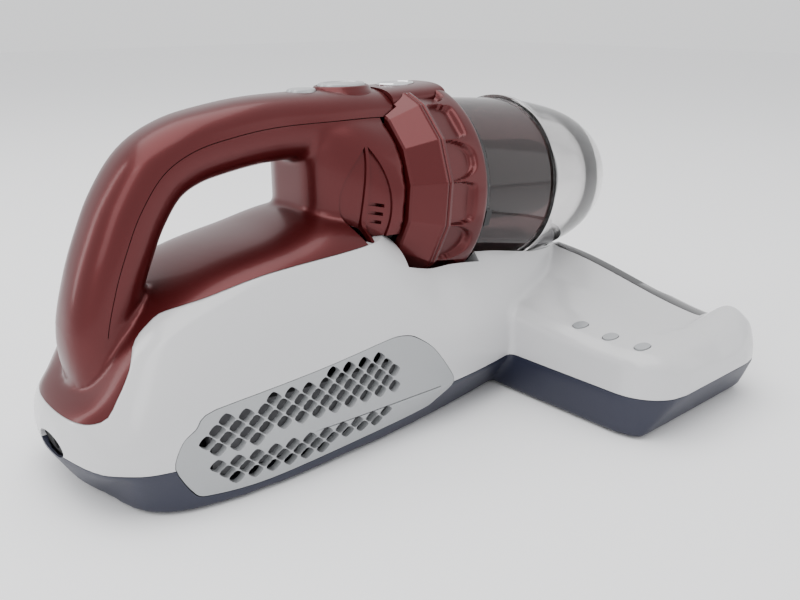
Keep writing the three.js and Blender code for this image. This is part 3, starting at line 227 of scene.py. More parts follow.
def tint(tree, mask, colour_a, colour_b):
    """A colour that runs from colour_a to colour_b with the mask."""
    node = tree.nodes.new("ShaderNodeMix")
    node.data_type = "RGBA"
    node.inputs["A"].default_value = (*colour_a, 1.0)
    node.inputs["B"].default_value = (*colour_b, 1.0)
    tree.links.new(mask, node.inputs["Factor"])
    return node.outputs["Result"]


def moulded(name, colour, dusty, rough, grain=0.1, wave=0.05, metallic=0.0, coat=0.0, grain_scale=900.0,
            dust=0.25):
    """Moulded plastic: colour drifts towards dusty where dust lies, roughness runs over rough=(low, high)."""
    material, tree, shader = plain_material(name, colour, rough[0], metallic)
    skin = place_group(tree, moulded_skin, Grain_Scale=grain_scale, Grain_Depth=grain, Wave_Depth=wave)
    film = place_group(tree, settled_dust, Amount=dust)
    tree.links.new(tint(tree, film.outputs["Mask"], colour, dusty), shader.inputs["Base Color"])
    tree.links.new(vary(tree, skin.outputs["Mask"], *rough), shader.inputs["Roughness"])
    tree.links.new(skin.outputs["Normal"], shader.inputs["Normal"])
    shader.inputs["Coat Weight"].default_value = coat
    shader.inputs["Coat Roughness"].default_value = 0.12
    return material


# White upper housing and navy lower housing: two injection mouldings that meet on a parting line.
# One rounded form makes both: the boat-shaped body joined to the wide brush head.
GAP = 0.35
BODY_LENGTH = 242.0
HEAD_WIDTH = 331.0
HEAD_DEPTH = 116.0
PARTING_Z = 24.0
RIDE_HEIGHT = 1.2
WALL = 2.6
HALF_HEAD = HEAD_WIDTH / 2
HEAD_X = BODY_LENGTH
HEAD_FRONT_X = HEAD_X + HEAD_DEPTH
RING_X = HEAD_X - 63
NECK_END = HEAD_FRONT_X - 4


def table(rows, at):
    """A smooth curve through rows of (place, value): each stretch is a cubic whose end slopes are those
    of the chord between its neighbours, level past both ends."""
    rows = np.array(rows, float)
    x, y = rows[:, 0], rows[:, 1]
    slope = np.empty_like(y)
    slope[1:-1] = (y[2:] - y[:-2]) / (x[2:] - x[:-2])
    slope[0] = (y[1] - y[0]) / (x[1] - x[0])
    slope[-1] = (y[-1] - y[-2]) / (x[-1] - x[-2])
    at = np.clip(np.asarray(at, float), x[0], x[-1])
    i = np.clip(np.searchsorted(x, at, side="right") - 1, 0, len(x) - 2)
    h = x[i + 1] - x[i]
    t = (at - x[i]) / h
    u = 1 - t
    return (y[i] * u * u * (1 + 2 * t) + slope[i] * h * t * u * u
            + y[i + 1] * t * t * (3 - 2 * t) - slope[i + 1] * h * t * t * u)


def loft(name, rings, sharp=35):
    """A closed form through rings (rings x points x 3): four-sided faces between rings, a flat cap on each
    end."""
    rings = np.asarray(rings, float)
    count, size = rings.shape[:2]
    a = np.arange(count - 1)[:, None] * size + np.arange(size)
    b = np.arange(count - 1)[:, None] * size + np.roll(np.arange(size), -1)
    quads = np.stack([a, b, b + size, a + size], -1).reshape(-1, 4).tolist()
    first = list(range(size))[::-1]
    last = list(range((count - 1) * size, count * size))
    made = make(name, rings.reshape(-1, 3), quads + [first, last], sharp)
    face_out(made)
    return made


def face_out(piece):
    """Turns a closed mesh outward when its signed volume says that it is inside out."""
    mesh = piece.data
    mesh.calc_loop_triangles()
    corner = np.empty(len(mesh.loop_triangles) * 3, int)
    mesh.loop_triangles.foreach_get("vertices", corner)
    place = np.empty(len(mesh.vertices) * 3)
    mesh.vertices.foreach_get("co", place)
    tri = place.reshape(-1, 3)[corner.reshape(-1, 3)]
    volume = np.einsum("ij,ij->i", tri[:, 0], np.cross(tri[:, 1], tri[:, 2])).sum()
    if volume < 0:
        mesh.flip_normals()


def apply_modifiers(piece):
    """Replaces a piece's mesh by what its modifiers make of it."""
    graph = bpy.context.evaluated_depsgraph_get()
    graph.update()
    done = bpy.data.meshes.new_from_object(piece.evaluated_get(graph))
    old = piece.data
    piece.modifiers.clear()
    piece.data = done
    bpy.data.meshes.remove(old)


def combine(piece, tool, how, keep_tool=False):
    """Joins, cuts or crosses a piece with a tool (UNION, DIFFERENCE, INTERSECT)."""
    step = piece.modifiers.new("combine", "BOOLEAN")
    step.operation = how
    step.solver = "MANIFOLD"
    step.object = tool
    apply_modifiers(piece)
    if not keep_tool:
        bpy.data.objects.remove(tool)
    return piece


def copy_of(piece, name):
    """A separate copy with its own mesh."""
    twin = bpy.data.objects.new(name, piece.data.copy())
    bpy.context.scene.collection.objects.link(twin)
    return twin


def soften(piece, voxel, passes):
    """Rebuilds a form on an even grid and relaxes it, which rounds the inner corners as a mould does."""
    grid = piece.modifiers.new("grid", "REMESH")
    grid.mode = "VOXEL"
    grid.voxel_size = voxel * MM
    relax = piece.modifiers.new("relax", "SMOOTH")
    relax.factor = 0.5
    relax.iterations = passes
    apply_modifiers(piece)
    return piece


def block(name, x, y, z):
    """A box tool between pairs of limits."""
    ring = [(x[k > 1], y[k in (1, 2)]) for k in range(4)]
    return loft(name, [[(px, py, pz) for px, py in ring] for pz in z])


def side_prism(name, outline, y):
    """An outline in X and Z carried across from y[0] to y[1]."""
    return loft(name, [[(px, level, pz) for px, pz in outline] for level in y])


def bezier(a, b, c, count):
    """Points on a three-point curve from a to c, pulled towards b."""
    t = np.linspace(0, 1, count)[:, None]
    return (1 - t) ** 2 * a + 2 * t * (1 - t) * b + t * t * c


parting_half = [(0, 14), (3, 30), (7, 41), (14, 49), (23, 55.5), (45, 61.5), (70, 66), (110, 70),
                (150, 71.5), (RING_X + 15, 72), (HEAD_X, 66), (HEAD_X + 28, 58),
                (HEAD_X + 60, 46), (HEAD_X + 90, 33), (NECK_END, 20)]
floor_half = [(0, 10), (7, 11), (14, 14), (18, 36), (23, 47), (32, 55), (45, 60), (70, 64),
              (110, 64.4), (RING_X - 14, 61.6), (HEAD_X, 51), (HEAD_X + 60, 38), (NECK_END, 14)]
keel_z = [(0, 20), (3, 15), (7, 8.5), (14, RIDE_HEIGHT), (20, RIDE_HEIGHT), (NECK_END, RIDE_HEIGHT)]
shoulder_half = [(0, 10), (3, 20), (7, 26), (14, 31), (23, 36), (45, 41.5), (70, 44.5), (110, 46),
                 (RING_X - 25, 46.5), (RING_X + 22, 48), (HEAD_X, 43), (HEAD_X + 28, 38), (HEAD_X + 60, 31),
                 (NECK_END, 13)]
shoulder_z = [(0, 36), (3, 41), (7, 45.5), (14, 51), (23, 62), (32, 72), (45, 81), (70, 91), (110, 99),
              (RING_X - 25, 102), (RING_X + 13, 83), (RING_X + 30, 84), (HEAD_X, 82), (HEAD_X + 28, 78),
              (HEAD_X + 60, 73), (NECK_END, 61)]
crown_z = [(0, 38), (3, 43.5), (7, 47.5), (14, 53.5), (23, 67), (32, 78), (45, 89), (70, 102), (110, 110),
           (RING_X - 25, 116), (RING_X + 13, 95), (RING_X + 30, 95), (HEAD_X, 88), (HEAD_X + 28, 83),
           (HEAD_X + 60, 77), (NECK_END, 63)]


def body_form(name, inset):
    """Body sections along X: flat keel, a straight lean out to the parting line, a bowed flank up to the
    shoulder and a domed roof. Each limit is a smooth curve of x, moved in by inset."""
    stations = np.concatenate([np.linspace(0, 30, 26), np.linspace(32, NECK_END, 110)])
    rings = []
    for x in stations:
        parting = table(parting_half, x) - inset
        floor_y = min(table(floor_half, x) - inset, parting - 1)
        keel = table(keel_z, x) + inset
        shoulder = table(shoulder_half, x) - inset
        height = table(shoulder_z, x) - inset * 0.6
        crown = table(crown_z, x) - inset
        bulge = np.array([parting - (parting - shoulder) * 0.12, PARTING_Z + (height - PARTING_Z) * 0.62])
        flank = bezier(np.array([parting, PARTING_Z + 2]), bulge, np.array([shoulder, height]), 16)
        roof = bezier(np.array([shoulder, height]), np.array([shoulder * 0.72, crown]),
                      np.array([0, crown]), 14)
        half = np.vstack([[(floor_y, keel), (parting, PARTING_Z - 1)], flank, roof[1:]])
        section = np.vstack([half, (half[:-1] * [-1, 1])[::-1]])
        rings.append([(x + (inset if x == 0 else 0), y, z) for y, z in section])
    return loft(name, rings)


HEAD_CORNER = 27.0
TIP_TUCK = 12.0
WINDOW_HALF = HALF_HEAD - 33.5
lip_z = [(0, 66), (45, 61), (WINDOW_HALF, 43), (WINDOW_HALF + 12, 52), (HALF_HEAD - 9, 49), (HALF_HEAD, 36)]
rear_z = [(0, 50), (60, 46), (HALF_HEAD - 45, 42), (HALF_HEAD - 8, 41), (HALF_HEAD, 32)]


def head_form(name, inset):
    """Head sections along Y: upright rear wall, a chamfer, a dished top rising to the lip, a rounded front.
    The plan corners are round, and the keel rises where the tips draw in."""
    limit = HALF_HEAD - inset
    steps = np.linspace(-1, 1, 121)
    stations = limit * np.sign(steps) * np.abs(steps) ** 0.85
    rings = []
    for y in stations:
        side = abs(y)
        into = max(0.0, side - (HALF_HEAD - HEAD_CORNER))
        turn = HEAD_CORNER - math.sqrt(max(HEAD_CORNER ** 2 - min(into, HEAD_CORNER) ** 2, 0))
        rear = HEAD_X + turn * 0.97 + inset
        front = HEAD_FRONT_X - turn * 0.97 - inset
        keel = RIDE_HEIGHT + inset + max(0,
                                         side - HALF_HEAD + TIP_TUCK) * (PARTING_Z - RIDE_HEIGHT) / TIP_TUCK
        rear_top = table(rear_z, side) - inset
        lip = table(lip_z, side) - inset
        span = front - rear
        outline = [(rear + 1, keel), (front - 5, keel), (front, PARTING_Z - 2),
                   (front - 1, min(PARTING_Z + 8, lip - 6)), (front - span * 0.05,
                       min(lip - 4, PARTING_Z + 20)),
                   (front - span * 0.13, lip - 0.5), (front - span * 0.2, lip),
                   (rear + span * 0.55, lip * 0.45 + rear_top * 0.55), (rear + span * 0.25, rear_top + 5),
                   (rear + span * 0.1, rear_top + 4.5), (rear + span * 0.03, rear_top), (rear, PARTING_Z - 2)]
        rings.append([(x, y, max(z, keel + 0.2)) for x, z in outline])
    return loft(name, rings)


# The tilted cyclone axis, on which the bin, the collar and the motor lie.
AXIS_TILT = math.radians(4.5)
AXIS_Z = 119.5
AXIS_ALONG = np.array([math.cos(AXIS_TILT), 0, -math.sin(AXIS_TILT)])
AXIS_DOWN = np.array([-math.sin(AXIS_TILT), 0, -math.cos(AXIS_TILT)])


def on_axis(radius, turn, along):
    """Points at a radius and a turn about the cyclone axis, turn 0 pointing down, along from the motor
    ring."""
    radius, turn, along = np.broadcast_arrays(radius, turn, along)
    return (np.array([RING_X, 0, AXIS_Z])
            + (radius * np.cos(turn))[..., None] * AXIS_DOWN
            + (radius * np.sin(turn))[..., None] * np.array([0, 1, 0])
            + along[..., None] * AXIS_ALONG)


def turned(name, profile, sides=144, sharp=30):
    """A body of revolution on the cyclone axis: the profile of (radius, along) closes on itself, or starts
    and ends on the axis, where its ring shrinks to one point."""
    profile = np.asarray(profile, float)
    on_centre = profile[0][0] == 0
    rows = profile[1:-1] if on_centre else profile
    turn = np.linspace(0, 2 * np.pi, sides, endpoint=False)
    grid = on_axis(rows[:, :1], turn[None, :], rows[:, 1:])
    count = len(rows)
    last = count - 1 if on_centre else count
    a = np.arange(last)[:, None] * sides + np.arange(sides)
    b = np.arange(last)[:, None] * sides + np.roll(np.arange(sides), -1)
    step = np.array([((k + 1) % count) * sides - k * sides for k in range(last)])[:, None]
    faces = np.stack([a, b, b + step, a + step], -1).reshape(-1, 4).tolist()
    points = grid.reshape(-1, 3)
    if on_centre:
        poles = on_axis(np.zeros(2), np.zeros(2), profile[[0, -1], 1])
        low, high = len(points), len(points) + 1
        points = np.vstack([points, poles])
        ring = np.arange(sides)
        following = np.roll(ring, -1)
        faces += np.stack([np.full(sides, low), following, ring], -1).tolist()
        end = (count - 1) * sides
        faces += np.stack([np.full(sides, high), ring + end, following + end], -1).tolist()
    made = make(name, points, faces, sharp)
    face_out(made)
    return made


COLLAR_LENGTH = 47.0
COLLAR_RADIUS = 59.5
LOCK_S = COLLAR_LENGTH + 0.6
BIN_S = LOCK_S + 7.6
BIN_RADIUS = 51.0
BIN_RING_RADIUS = 53.0
NOSE_S = BIN_S + 58 + GAP
CRADLE_CLEARANCE = 1.5
PULL_RISE = math.radians(5)


def cradle_room(name, wall):
    """The space that the collar, the lock ring and the bin need, with the bin's way out to the front."""
    reach = COLLAR_RADIUS + CRADLE_CLEARANCE + wall
    radius = BIN_RING_RADIUS + CRADLE_CLEARANCE + wall
    collar = turned(name, [(0, -1), (reach, -1), (reach, BIN_S + 1 + wall), (0, BIN_S + 1 + wall)], 96)
    start = on_axis(0, 0, BIN_S - 10)
    ring = on_axis(0, 0, NOSE_S)
    end = ring + 140 * np.array([math.cos(PULL_RISE), 0, math.sin(PULL_RISE)])
    turn = np.linspace(0, 2 * np.pi, 96, endpoint=False)
    circle = np.stack([np.zeros(96), radius * np.cos(turn), radius * np.sin(turn)], -1)
    way = loft("way", [circle + start, circle + ring, circle + end])
    return combine(collar, way, "UNION")


SEAM_FRONT_X = RING_X + 1
seam_z = [(-10, 40), (0, 42), (8, 44), (14, 47.5), (19, 55), (26, 66), (31, 74), (38, 81), (47, 87),
          (67, 93), (90, 97.5), (117, 100), (RING_X - 27, 102), (SEAM_FRONT_X, 103)]


def seam_tool(name, drop, below):
    """Everything under (or over) the curved line between the white and the red mouldings, up to the ring."""
    x = np.linspace(-10, SEAM_FRONT_X, 80)
    line = [(px, pz) for px, pz in zip(x, table(seam_z, x) - drop)]
    if below:
        line += [(SEAM_FRONT_X, 220), (HEAD_FRONT_X + 60, 220), (HEAD_FRONT_X + 60, -10), (-10, -10)]
    else:
        line += [(SEAM_FRONT_X, 220), (-10, 220)]
    return side_prism(name, line, (-HALF_HEAD - 10, HALF_HEAD + 10))


PANEL_REAR_X = 36.0
PANEL_FRONT_X = HEAD_X - 52


def panel_outline(grow):
    """Outline of a vent panel in X and Z, a long leaf moved out by grow: corners joined by a closed smooth
    curve, so that each corner is round."""
    r, f = PANEL_REAR_X - grow, PANEL_FRONT_X + grow
    corners = np.array([
        (r - 4, PARTING_Z + 1), (r + 0.5, PARTING_Z + 12), (r + 7, 41 + grow), (r + 17, 48 + grow),
        (f - 80, 54 + grow), (f - 46, 57.6 + grow), (f - 35, 58 + grow), (f - 25, 55.5 + grow),
        (f - 13, 46.5),
        (f - 3, 32), (f, PARTING_Z), (f - 8, 15 - grow), (f - 17, 10.8 - grow), (f - 60, 8.4 - grow),
        (r + 40, 6 - grow), (r + 12, 7 - grow), (r + 4, 9.5 - grow)])
    before, after = np.roll(corners, 1, 0), np.roll(corners, -1, 0)
    following = np.roll(corners, -2, 0)
    t = np.linspace(0, 1, 5)[:-1, None, None]
    bow = (0.8 * (t ** 3 - 2 * t * t + t) * (after - before) / 2
           + 0.8 * (t ** 3 - t * t) * (following - corners) / 2)
    path = (2 * t ** 3 - 3 * t * t + 1) * corners + (3 * t * t - 2 * t ** 3) * after + bow
    return path.transpose(1, 0, 2).reshape(-1, 2).tolist()


def panel_hole(side):
    """The panel's outline run sideways through one flank, side -1 right and 1 left."""
    near, far = 20, 80
    return side_prism("panel_hole", panel_outline(0), (near, far) if side > 0 else (-far, -near))


outer_form = combine(body_form("outer_form", 0), head_form("head", 0), "UNION")
soften(outer_form, 1.7, 10)
inner_form = combine(body_form("inner_form", WALL + 0.6), head_form("inner_head", WALL + 0.6), "UNION")
cradle = cradle_room("cradle", 0)
combine(inner_form, cradle_room("cradle_wall", WALL), "DIFFERENCE")

INLET_HALF_WIDTH, INLET_HALF_HEIGHT, INLET_Z = 14.0, 5.0, PARTING_Z + 2


def inlet_oval(name, grow, x):
    """The flat oval at the middle of the rear, grown by grow, between two places along X."""
    turn = np.linspace(0, 2 * np.pi, 64, endpoint=False)
    y = (INLET_HALF_WIDTH + grow) * np.cos(turn)
    z = INLET_Z + (INLET_HALF_HEIGHT + grow) * np.sin(turn)
    return loft(name, [np.stack([np.full(64, px), y, z], -1) for px in x])


FAR = HALF_HEAD + 10
upper = copy_of(outer_form, "upper_shell")
combine(upper, inner_form, "DIFFERENCE", keep_tool=True)
lower = copy_of(upper, "lower_pan")
combine(upper, block("above", (-10, HEAD_FRONT_X + 60), (-FAR, FAR), (PARTING_Z + GAP / 2, 220)), "INTERSECT")
combine(upper, seam_tool("under_seam", GAP / 2, True), "INTERSECT")
combine(upper, cradle, "DIFFERENCE", keep_tool=True)
WINDOW_X = HEAD_FRONT_X - 24
combine(upper, block("window_room", (WINDOW_X, HEAD_FRONT_X + 8), (-WINDOW_HALF, WINDOW_HALF), (20, 90)),
        "DIFFERENCE")
for side in (-1, 1):
    combine(upper, panel_hole(side), "DIFFERENCE")
combine(upper, inlet_oval("inlet", 0, (-12, 25)), "DIFFERENCE")

combine(lower, block("below", (-10, HEAD_FRONT_X + 60), (-FAR, FAR), (-10, PARTING_Z - GAP / 2)), "INTERSECT")
SOLE_X = (HEAD_X + 12, HEAD_FRONT_X - 7)
SOLE_HALF = HALF_HEAD - 21.5
combine(lower, block("sole_room", (SOLE_X[0] - GAP, SOLE_X[1] + GAP), (-SOLE_HALF - GAP, SOLE_HALF + GAP),
                     (-1, 6)),
        "DIFFERENCE")
for side in (-1, 1):
    combine(lower, panel_hole(side), "DIFFERENCE")
combine(lower, inlet_oval("inlet", 0, (-12, 25)), "DIFFERENCE")

DUCT_X = HEAD_X + 34
combine(upper, block("port", (DUCT_X - 10, DUCT_X + 10), (-9, 9), (40, 75)), "DIFFERENCE")
LENS_X = HEAD_X + 17
LENS_YS = [-(HALF_HEAD - 43.5) + 20 * k for k in (-1, 0, 1)]


def lens_post(name, y, grow):
    """The rounded-bean outline of an indicator lens, upright through the top of the head."""
    turn = np.linspace(0, 2 * np.pi, 40, endpoint=False)
    x = LENS_X + (5.2 + grow) * np.cos(turn)
    across = y + (3.4 + grow) * np.sign(np.sin(turn)) * np.abs(np.sin(turn)) ** 0.8
    return loft(name, [np.stack([x, across, np.full(40, z)], -1) for z in (PARTING_Z + 5, 90)])


for lens_y in LENS_YS:
    combine(upper, lens_post("lens_hole", lens_y, 0.35), "DIFFERENCE")

white_gloss = moulded("white_gloss", (0.57, 0.57, 0.58), (0.53, 0.52, 0.505), (0.18, 0.3), 0.04, 0.03,
                      coat=0.4)
navy_satin = moulded("navy_satin", (0.014, 0.016, 0.034), (0.06, 0.06, 0.07), (0.38, 0.5), 0.25, 0.03)


def dress(piece, material, body, slot, *nodes):
    """Gives a finished piece its material and its body, and hides the CAD nodes that it stands for; slot is
    not used.
    """
    piece.data.materials.clear()
    piece.data.materials.append(material)
    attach(piece, body)
    if nodes:
        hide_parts(*nodes)


smooth(upper, 32)
smooth(lower, 32)
dress(upper, white_gloss, "housing", "white_plastic", "upper_housing")
dress(lower, navy_satin, "housing", "navy_plastic", "lower_housing")


# Three indicator lenses: clear grey acrylic beans pressed into the top of the right wing.
lens_grey, lens_tree, lens_shader = plain_material("lens_grey", (0.30, 0.31, 0.32), 0.15)
lens_skin = place_group(lens_tree, moulded_skin, Grain_Depth=0.02)
lens_tree.links.new(tint(lens_tree, lens_skin.outputs["Mask"], (0.25, 0.26, 0.27), (0.36, 0.37, 0.38)),
                    lens_shader.inputs["Base Color"])
lens_shader.inputs["Coat Weight"].default_value = 0.6
lens_cap = head_form("lens_cap", -0.45)
combine(lens_cap, head_form("lens_under", 1.6), "DIFFERENCE")
for k, lens_y in enumerate(LENS_YS):
    lens = lens_post(f"lens_{k + 1}", lens_y, 0)
    combine(lens, lens_cap, "INTERSECT", keep_tool=True)
    smooth(lens, 40)
    dress(lens, lens_grey, "housing", "lens_plastic", f"indicator_lens_{k + 1}")
bpy.data.objects.remove(lens_cap)

# Smoked brush window: one curved polycarbonate panel let into the front of the head.
window = head_form("window", 0)
combine(window, head_form("window_under", WALL), "DIFFERENCE")
combine(window, block("window_slab", (WINDOW_X + GAP, HEAD_FRONT_X + 8),
                      (-WINDOW_HALF + GAP, WINDOW_HALF - GAP),
                      (PARTING_Z + GAP / 2, 90)), "INTERSECT")
combine(window, cradle, "DIFFERENCE", keep_tool=True)
smoke, smoke_tree, smoke_shader = plain_material("window_smoke", (0.010, 0.010, 0.012), 0.06)
smoke_skin = place_group(smoke_tree, moulded_skin, Grain_Depth=0.01, Wave_Depth=0.03)
smoke_tree.links.new(vary(smoke_tree, smoke_skin.outputs["Mask"], 0.04, 0.1),
                     smoke_shader.inputs["Roughness"])
smoke_tree.links.new(smoke_skin.outputs["Normal"], smoke_shader.inputs["Normal"])
smoke_shader.inputs["Transmission Weight"].default_value = 0.25
smoke_shader.inputs["Coat Weight"].default_value = 0.5
smooth(window, 32)
dress(window, smoke, "housing", "smoked_plastic", "brush_window")

# Vent panels: grey mouldings let into both flanks, each with a field of rhombus holes over a filter.
panel_grey = moulded("panel_grey", (0.34, 0.35, 0.36), (0.42, 0.41, 0.40), (0.35, 0.48), 0.3, 0.03)
GRILLE_PITCH_X, GRILLE_PITCH_Z = 9.2, 8.2
GRILLE_HALF_X, GRILLE_HALF_Z = 3.9, 3.35
upper_field = [(PANEL_REAR_X + 9, PARTING_Z + 5), (PANEL_REAR_X + 12, PARTING_Z + 16),
               (PANEL_REAR_X + 20, PARTING_Z + 20), (PANEL_FRONT_X - 58, 53), (PANEL_FRONT_X - 46, 52),
               (PANEL_FRONT_X - 36, 42), (PANEL_FRONT_X - 38, PARTING_Z + 13),
               (PANEL_FRONT_X - 44, PARTING_Z + 7)]
lower_field = [(PANEL_REAR_X + 15, 11), (PANEL_REAR_X + 10, PARTING_Z - 2),
               (PANEL_FRONT_X - 40, PARTING_Z - 1),
               (PANEL_FRONT_X - 50, 14.5)]


def inside(points, outline):
    """Which points lie in a convex outline: on one side of every edge."""
    outline = np.asarray(outline, float)
    edge = np.roll(outline, -1, 0) - outline
    away = points[:, None, :] - outline[None]
    return np.all(edge[:, 0] * away[..., 1] - edge[:, 1] * away[..., 0] <= 0, 1)


def grille_tool(name, side):
    """Rounded rhombus prisms on a staggered grid, |x/a|^1.4 + |z/b|^1.4 = 1, kept where the field holds their
    centres."""
    turn = np.linspace(0, 2 * np.pi, 16, endpoint=False)
    shape_x = GRILLE_HALF_X * np.sign(np.cos(turn)) * np.abs(np.cos(turn)) ** 1.45
    shape_z = GRILLE_HALF_Z * np.sign(np.sin(turn)) * np.abs(np.sin(turn)) ** 1.45
    i, j = np.meshgrid(np.arange(0, 22), np.arange(0, 14))
    x = PANEL_REAR_X + 4 + (i + 0.5 * (j % 2)) * GRILLE_PITCH_X + 0.35 * j
    z = 5 + j * GRILLE_PITCH_Z / 2
    centre = np.stack([x.ravel(), z.ravel()], -1)
    points, faces = [], []
    y = np.array([20.0, 85.0]) * side
    keep = inside(centre, upper_field) | inside(centre, lower_field)
    for cx, cz in centre[keep]:
        start = len(points)
        for level in y:
            points += [(cx + sx, level, cz + sz) for sx, sz in zip(shape_x, shape_z)]
        ring = np.arange(16)
        a = start + ring
        b = start + np.roll(ring, -1)
        faces += np.stack([a, b, b + 16, a + 16], -1).tolist()
        faces += [a[::-1].tolist(), (a + 16).tolist()]
    made = make(name, points, faces)
    face_out(made)
    return made


for side, word in ((-1, "right"), (1, "left")):
    panel = copy_of(outer_form, f"panel_{word}")
    combine(panel, body_form("panel_under", 3.6), "DIFFERENCE")
    near, far = (20, 80) if side > 0 else (-80, -20)
    combine(panel, side_prism("panel_edge", panel_outline(-GAP), (near, far)), "INTERSECT")
    crease = side_prism("crease", [(PANEL_REAR_X, PARTING_Z + 0.6), (PANEL_FRONT_X - 10, PARTING_Z + 0.6),
                                   (PANEL_FRONT_X - 10, PARTING_Z), (PANEL_REAR_X, PARTING_Z)],
                        (69, 80) if side > 0 else (-80, -69))
    combine(panel, crease, "DIFFERENCE")
    combine(panel, grille_tool("grille", side), "DIFFERENCE")
    smooth(panel, 30)
    dress(panel, panel_grey, "housing", "grey_plastic", f"vent_panel_{word}")
bpy.data.objects.remove(inner_form)

# Red handle housing: one burgundy moulding of deck, hollow handle and motor barrel; its top cover snaps on.
burgundy = moulded("burgundy_metallic", (0.082, 0.006, 0.007), (0.12, 0.035, 0.035), (0.27, 0.37), 0.10, 0.03,
                   metallic=0.6, coat=0.25, grain_scale=1600.0, dust=0.1)
GRIP_TOP_Z = 157.5
GRIP_HALF_DEPTH = 16.5
TOP_FRONT_X = RING_X + 12
MOTOR_RING_RADIUS = 46.4
handle_points = np.array([(32, 38), (28, 56), (27, 74), (33, 96), (40, 113), (48, GRIP_TOP_Z - 29),
                          (60, GRIP_TOP_Z - 14),
                          (75, GRIP_TOP_Z - 6), (94, GRIP_TOP_Z - 2), (RING_X - 62, GRIP_TOP_Z + 0.5),
                          (RING_X - 30, GRIP_TOP_Z + 1), (RING_X - 6, GRIP_TOP_Z + 1),
                          (TOP_FRONT_X, GRIP_TOP_Z)], float)


def smooth_line(points, count):
    """A curve through points, parametrised by the square root of the chord, then spaced evenly by length;
    returns the places and the unit directions."""
    knots = np.concatenate([[0], np.cumsum(np.linalg.norm(np.diff(points, axis=0), axis=1) ** 0.5)])
    fine = np.linspace(0, knots[-1], 600)
    path = np.stack([table(np.stack([knots, points[:, k]], -1), fine) for k in range(points.shape[1])], -1)
    length = np.concatenate([[0], np.cumsum(np.linalg.norm(np.diff(path, axis=0), axis=1))])
    even = np.linspace(0, length[-1], count)
    place = np.stack([np.interp(even, length, path[:, k]) for k in range(points.shape[1])], -1)
    along = np.gradient(place, axis=0)
    return place, along / np.linalg.norm(along, axis=1, keepdims=True)


grip_half_width = [(0, 16), (0.07, 18), (0.14, 20), (0.72, 20), (0.87, 23), (1, 23)]
SPLIT = 0.14 * GRIP_HALF_DEPTH
HANDLE_COUNT = 90


def grip_half(name, t0, t1, inset, outward, from_middle):
    """The rounded grip section |u/a|^(1/0.85) + |v/b|^(1/0.85) = 1 swept along the handle line, from the
    split line outwards or inwards, closed along the split."""
    place, along = smooth_line(handle_points, HANDLE_COUNT)
    t = np.linspace(0, 1, HANDLE_COUNT)
    used = (t >= t0 - 1e-9) & (t <= t1 + 1e-9)
    place, along, t = place[used], along[used], t[used]
    start = math.acos(min(from_middle / GRIP_HALF_DEPTH, 0.99))
    turn = np.linspace(-start, start, 40) if outward else np.linspace(start, 2 * np.pi - start, 40)
    power = 0.85
    u = (GRIP_HALF_DEPTH - inset) * np.sign(np.cos(turn)) * np.abs(np.cos(turn)) ** power
    v = np.sign(np.sin(turn)) * np.abs(np.sin(turn)) ** power
    wide = table(grip_half_width, t) - inset
    out = np.stack([-along[:, 1], along[:, 0]], -1)
    x = place[:, :1] + out[:, :1] * u
    z = place[:, 1:] + out[:, 1:] * u
    y = wide[:, None] * v
    return loft(name, np.stack([x, y, z], -1), 40)


# Each row: place, middle height, half height, half width, squareness (1 an ellipse, less is squarer).
swelling = [(RING_X - 42, 130, 22, 13, 0.55), (RING_X - 39, 128, 31, 21, 0.55),
            (RING_X - 33, 126, 38, 28, 0.6),
            (RING_X - 27, 124, 41, 32.5, 0.66), (RING_X - 20, 123, 43, 37, 0.74),
            (RING_X - 13, 121.5, 44.8, 41, 0.84), (RING_X - 6, 120.3, 46, 44.4, 0.95),
            (RING_X, AXIS_Z, MOTOR_RING_RADIUS, MOTOR_RING_RADIUS, 1)]


def barrel_form(name, inset=0):
    """Sections |y/w|^(2/q) + |z/h|^(2/q) = 1 that swell from the front of the finger opening, squarish, into
    the round motor ring; the last stretch leans with the cyclone axis."""
    rows = np.array(swelling)
    x = np.linspace(rows[0, 0], rows[-1, 0], 50)
    middle, high, wide, power = (table(rows[:, [0, k]], x)[:, None] for k in (1, 2, 3, 4))
    turn = np.linspace(0, 2 * np.pi, 144, endpoint=False)
    z = middle + (high - inset) * np.sign(np.sin(turn)) * np.abs(np.sin(turn)) ** power
    y = (wide - inset) * np.sign(np.cos(turn)) * np.abs(np.cos(turn)) ** power
    lean = (z - AXIS_Z) * math.tan(AXIS_TILT) * np.clip((x - RING_X + 24) / 24, 0, None)[:, None]
    return loft(name, np.stack([x[:, None] + lean, y, z], -1), 40)


deck = copy_of(outer_form, "handle_deck")
combine(deck, block("deck_room", (-10, RING_X - 10), (-FAR, FAR), (0, 220)), "INTERSECT")
red = grip_half("red_grip", 0, 1, 0, True, 0)
combine(red, grip_half("red_grip_low", 0, 1, 0, False, -0.05), "UNION")
combine(red, deck, "UNION")
combine(red, barrel_form("barrel"), "UNION")
soften(red, 1.5, 14)
combine(red, body_form("deck_hollow", WALL), "DIFFERENCE")
MOTOR_BODY_ROOM, MOTOR_RING_ROOM = 30, 41.4
MOTOR_ROOM_REAR, MOTOR_ROOM_STEP, MOTOR_ROOM_FRONT = -26, -8, 40
combine(red, turned("motor_cavity", [
    (0, MOTOR_ROOM_REAR), (MOTOR_BODY_ROOM, MOTOR_ROOM_REAR), (MOTOR_BODY_ROOM, MOTOR_ROOM_STEP),
    (MOTOR_RING_ROOM, MOTOR_ROOM_STEP), (MOTOR_RING_ROOM, MOTOR_ROOM_FRONT), (0, MOTOR_ROOM_FRONT)]),
        "DIFFERENCE")
combine(red, block("ahead", (RING_X + 12, RING_X + 90), (-FAR, FAR), (0, 260)), "DIFFERENCE")
ahead_of_ring = turned("ahead_of_ring", [(0, 0.2), (90, 0.2), (90, 90), (0, 90)])
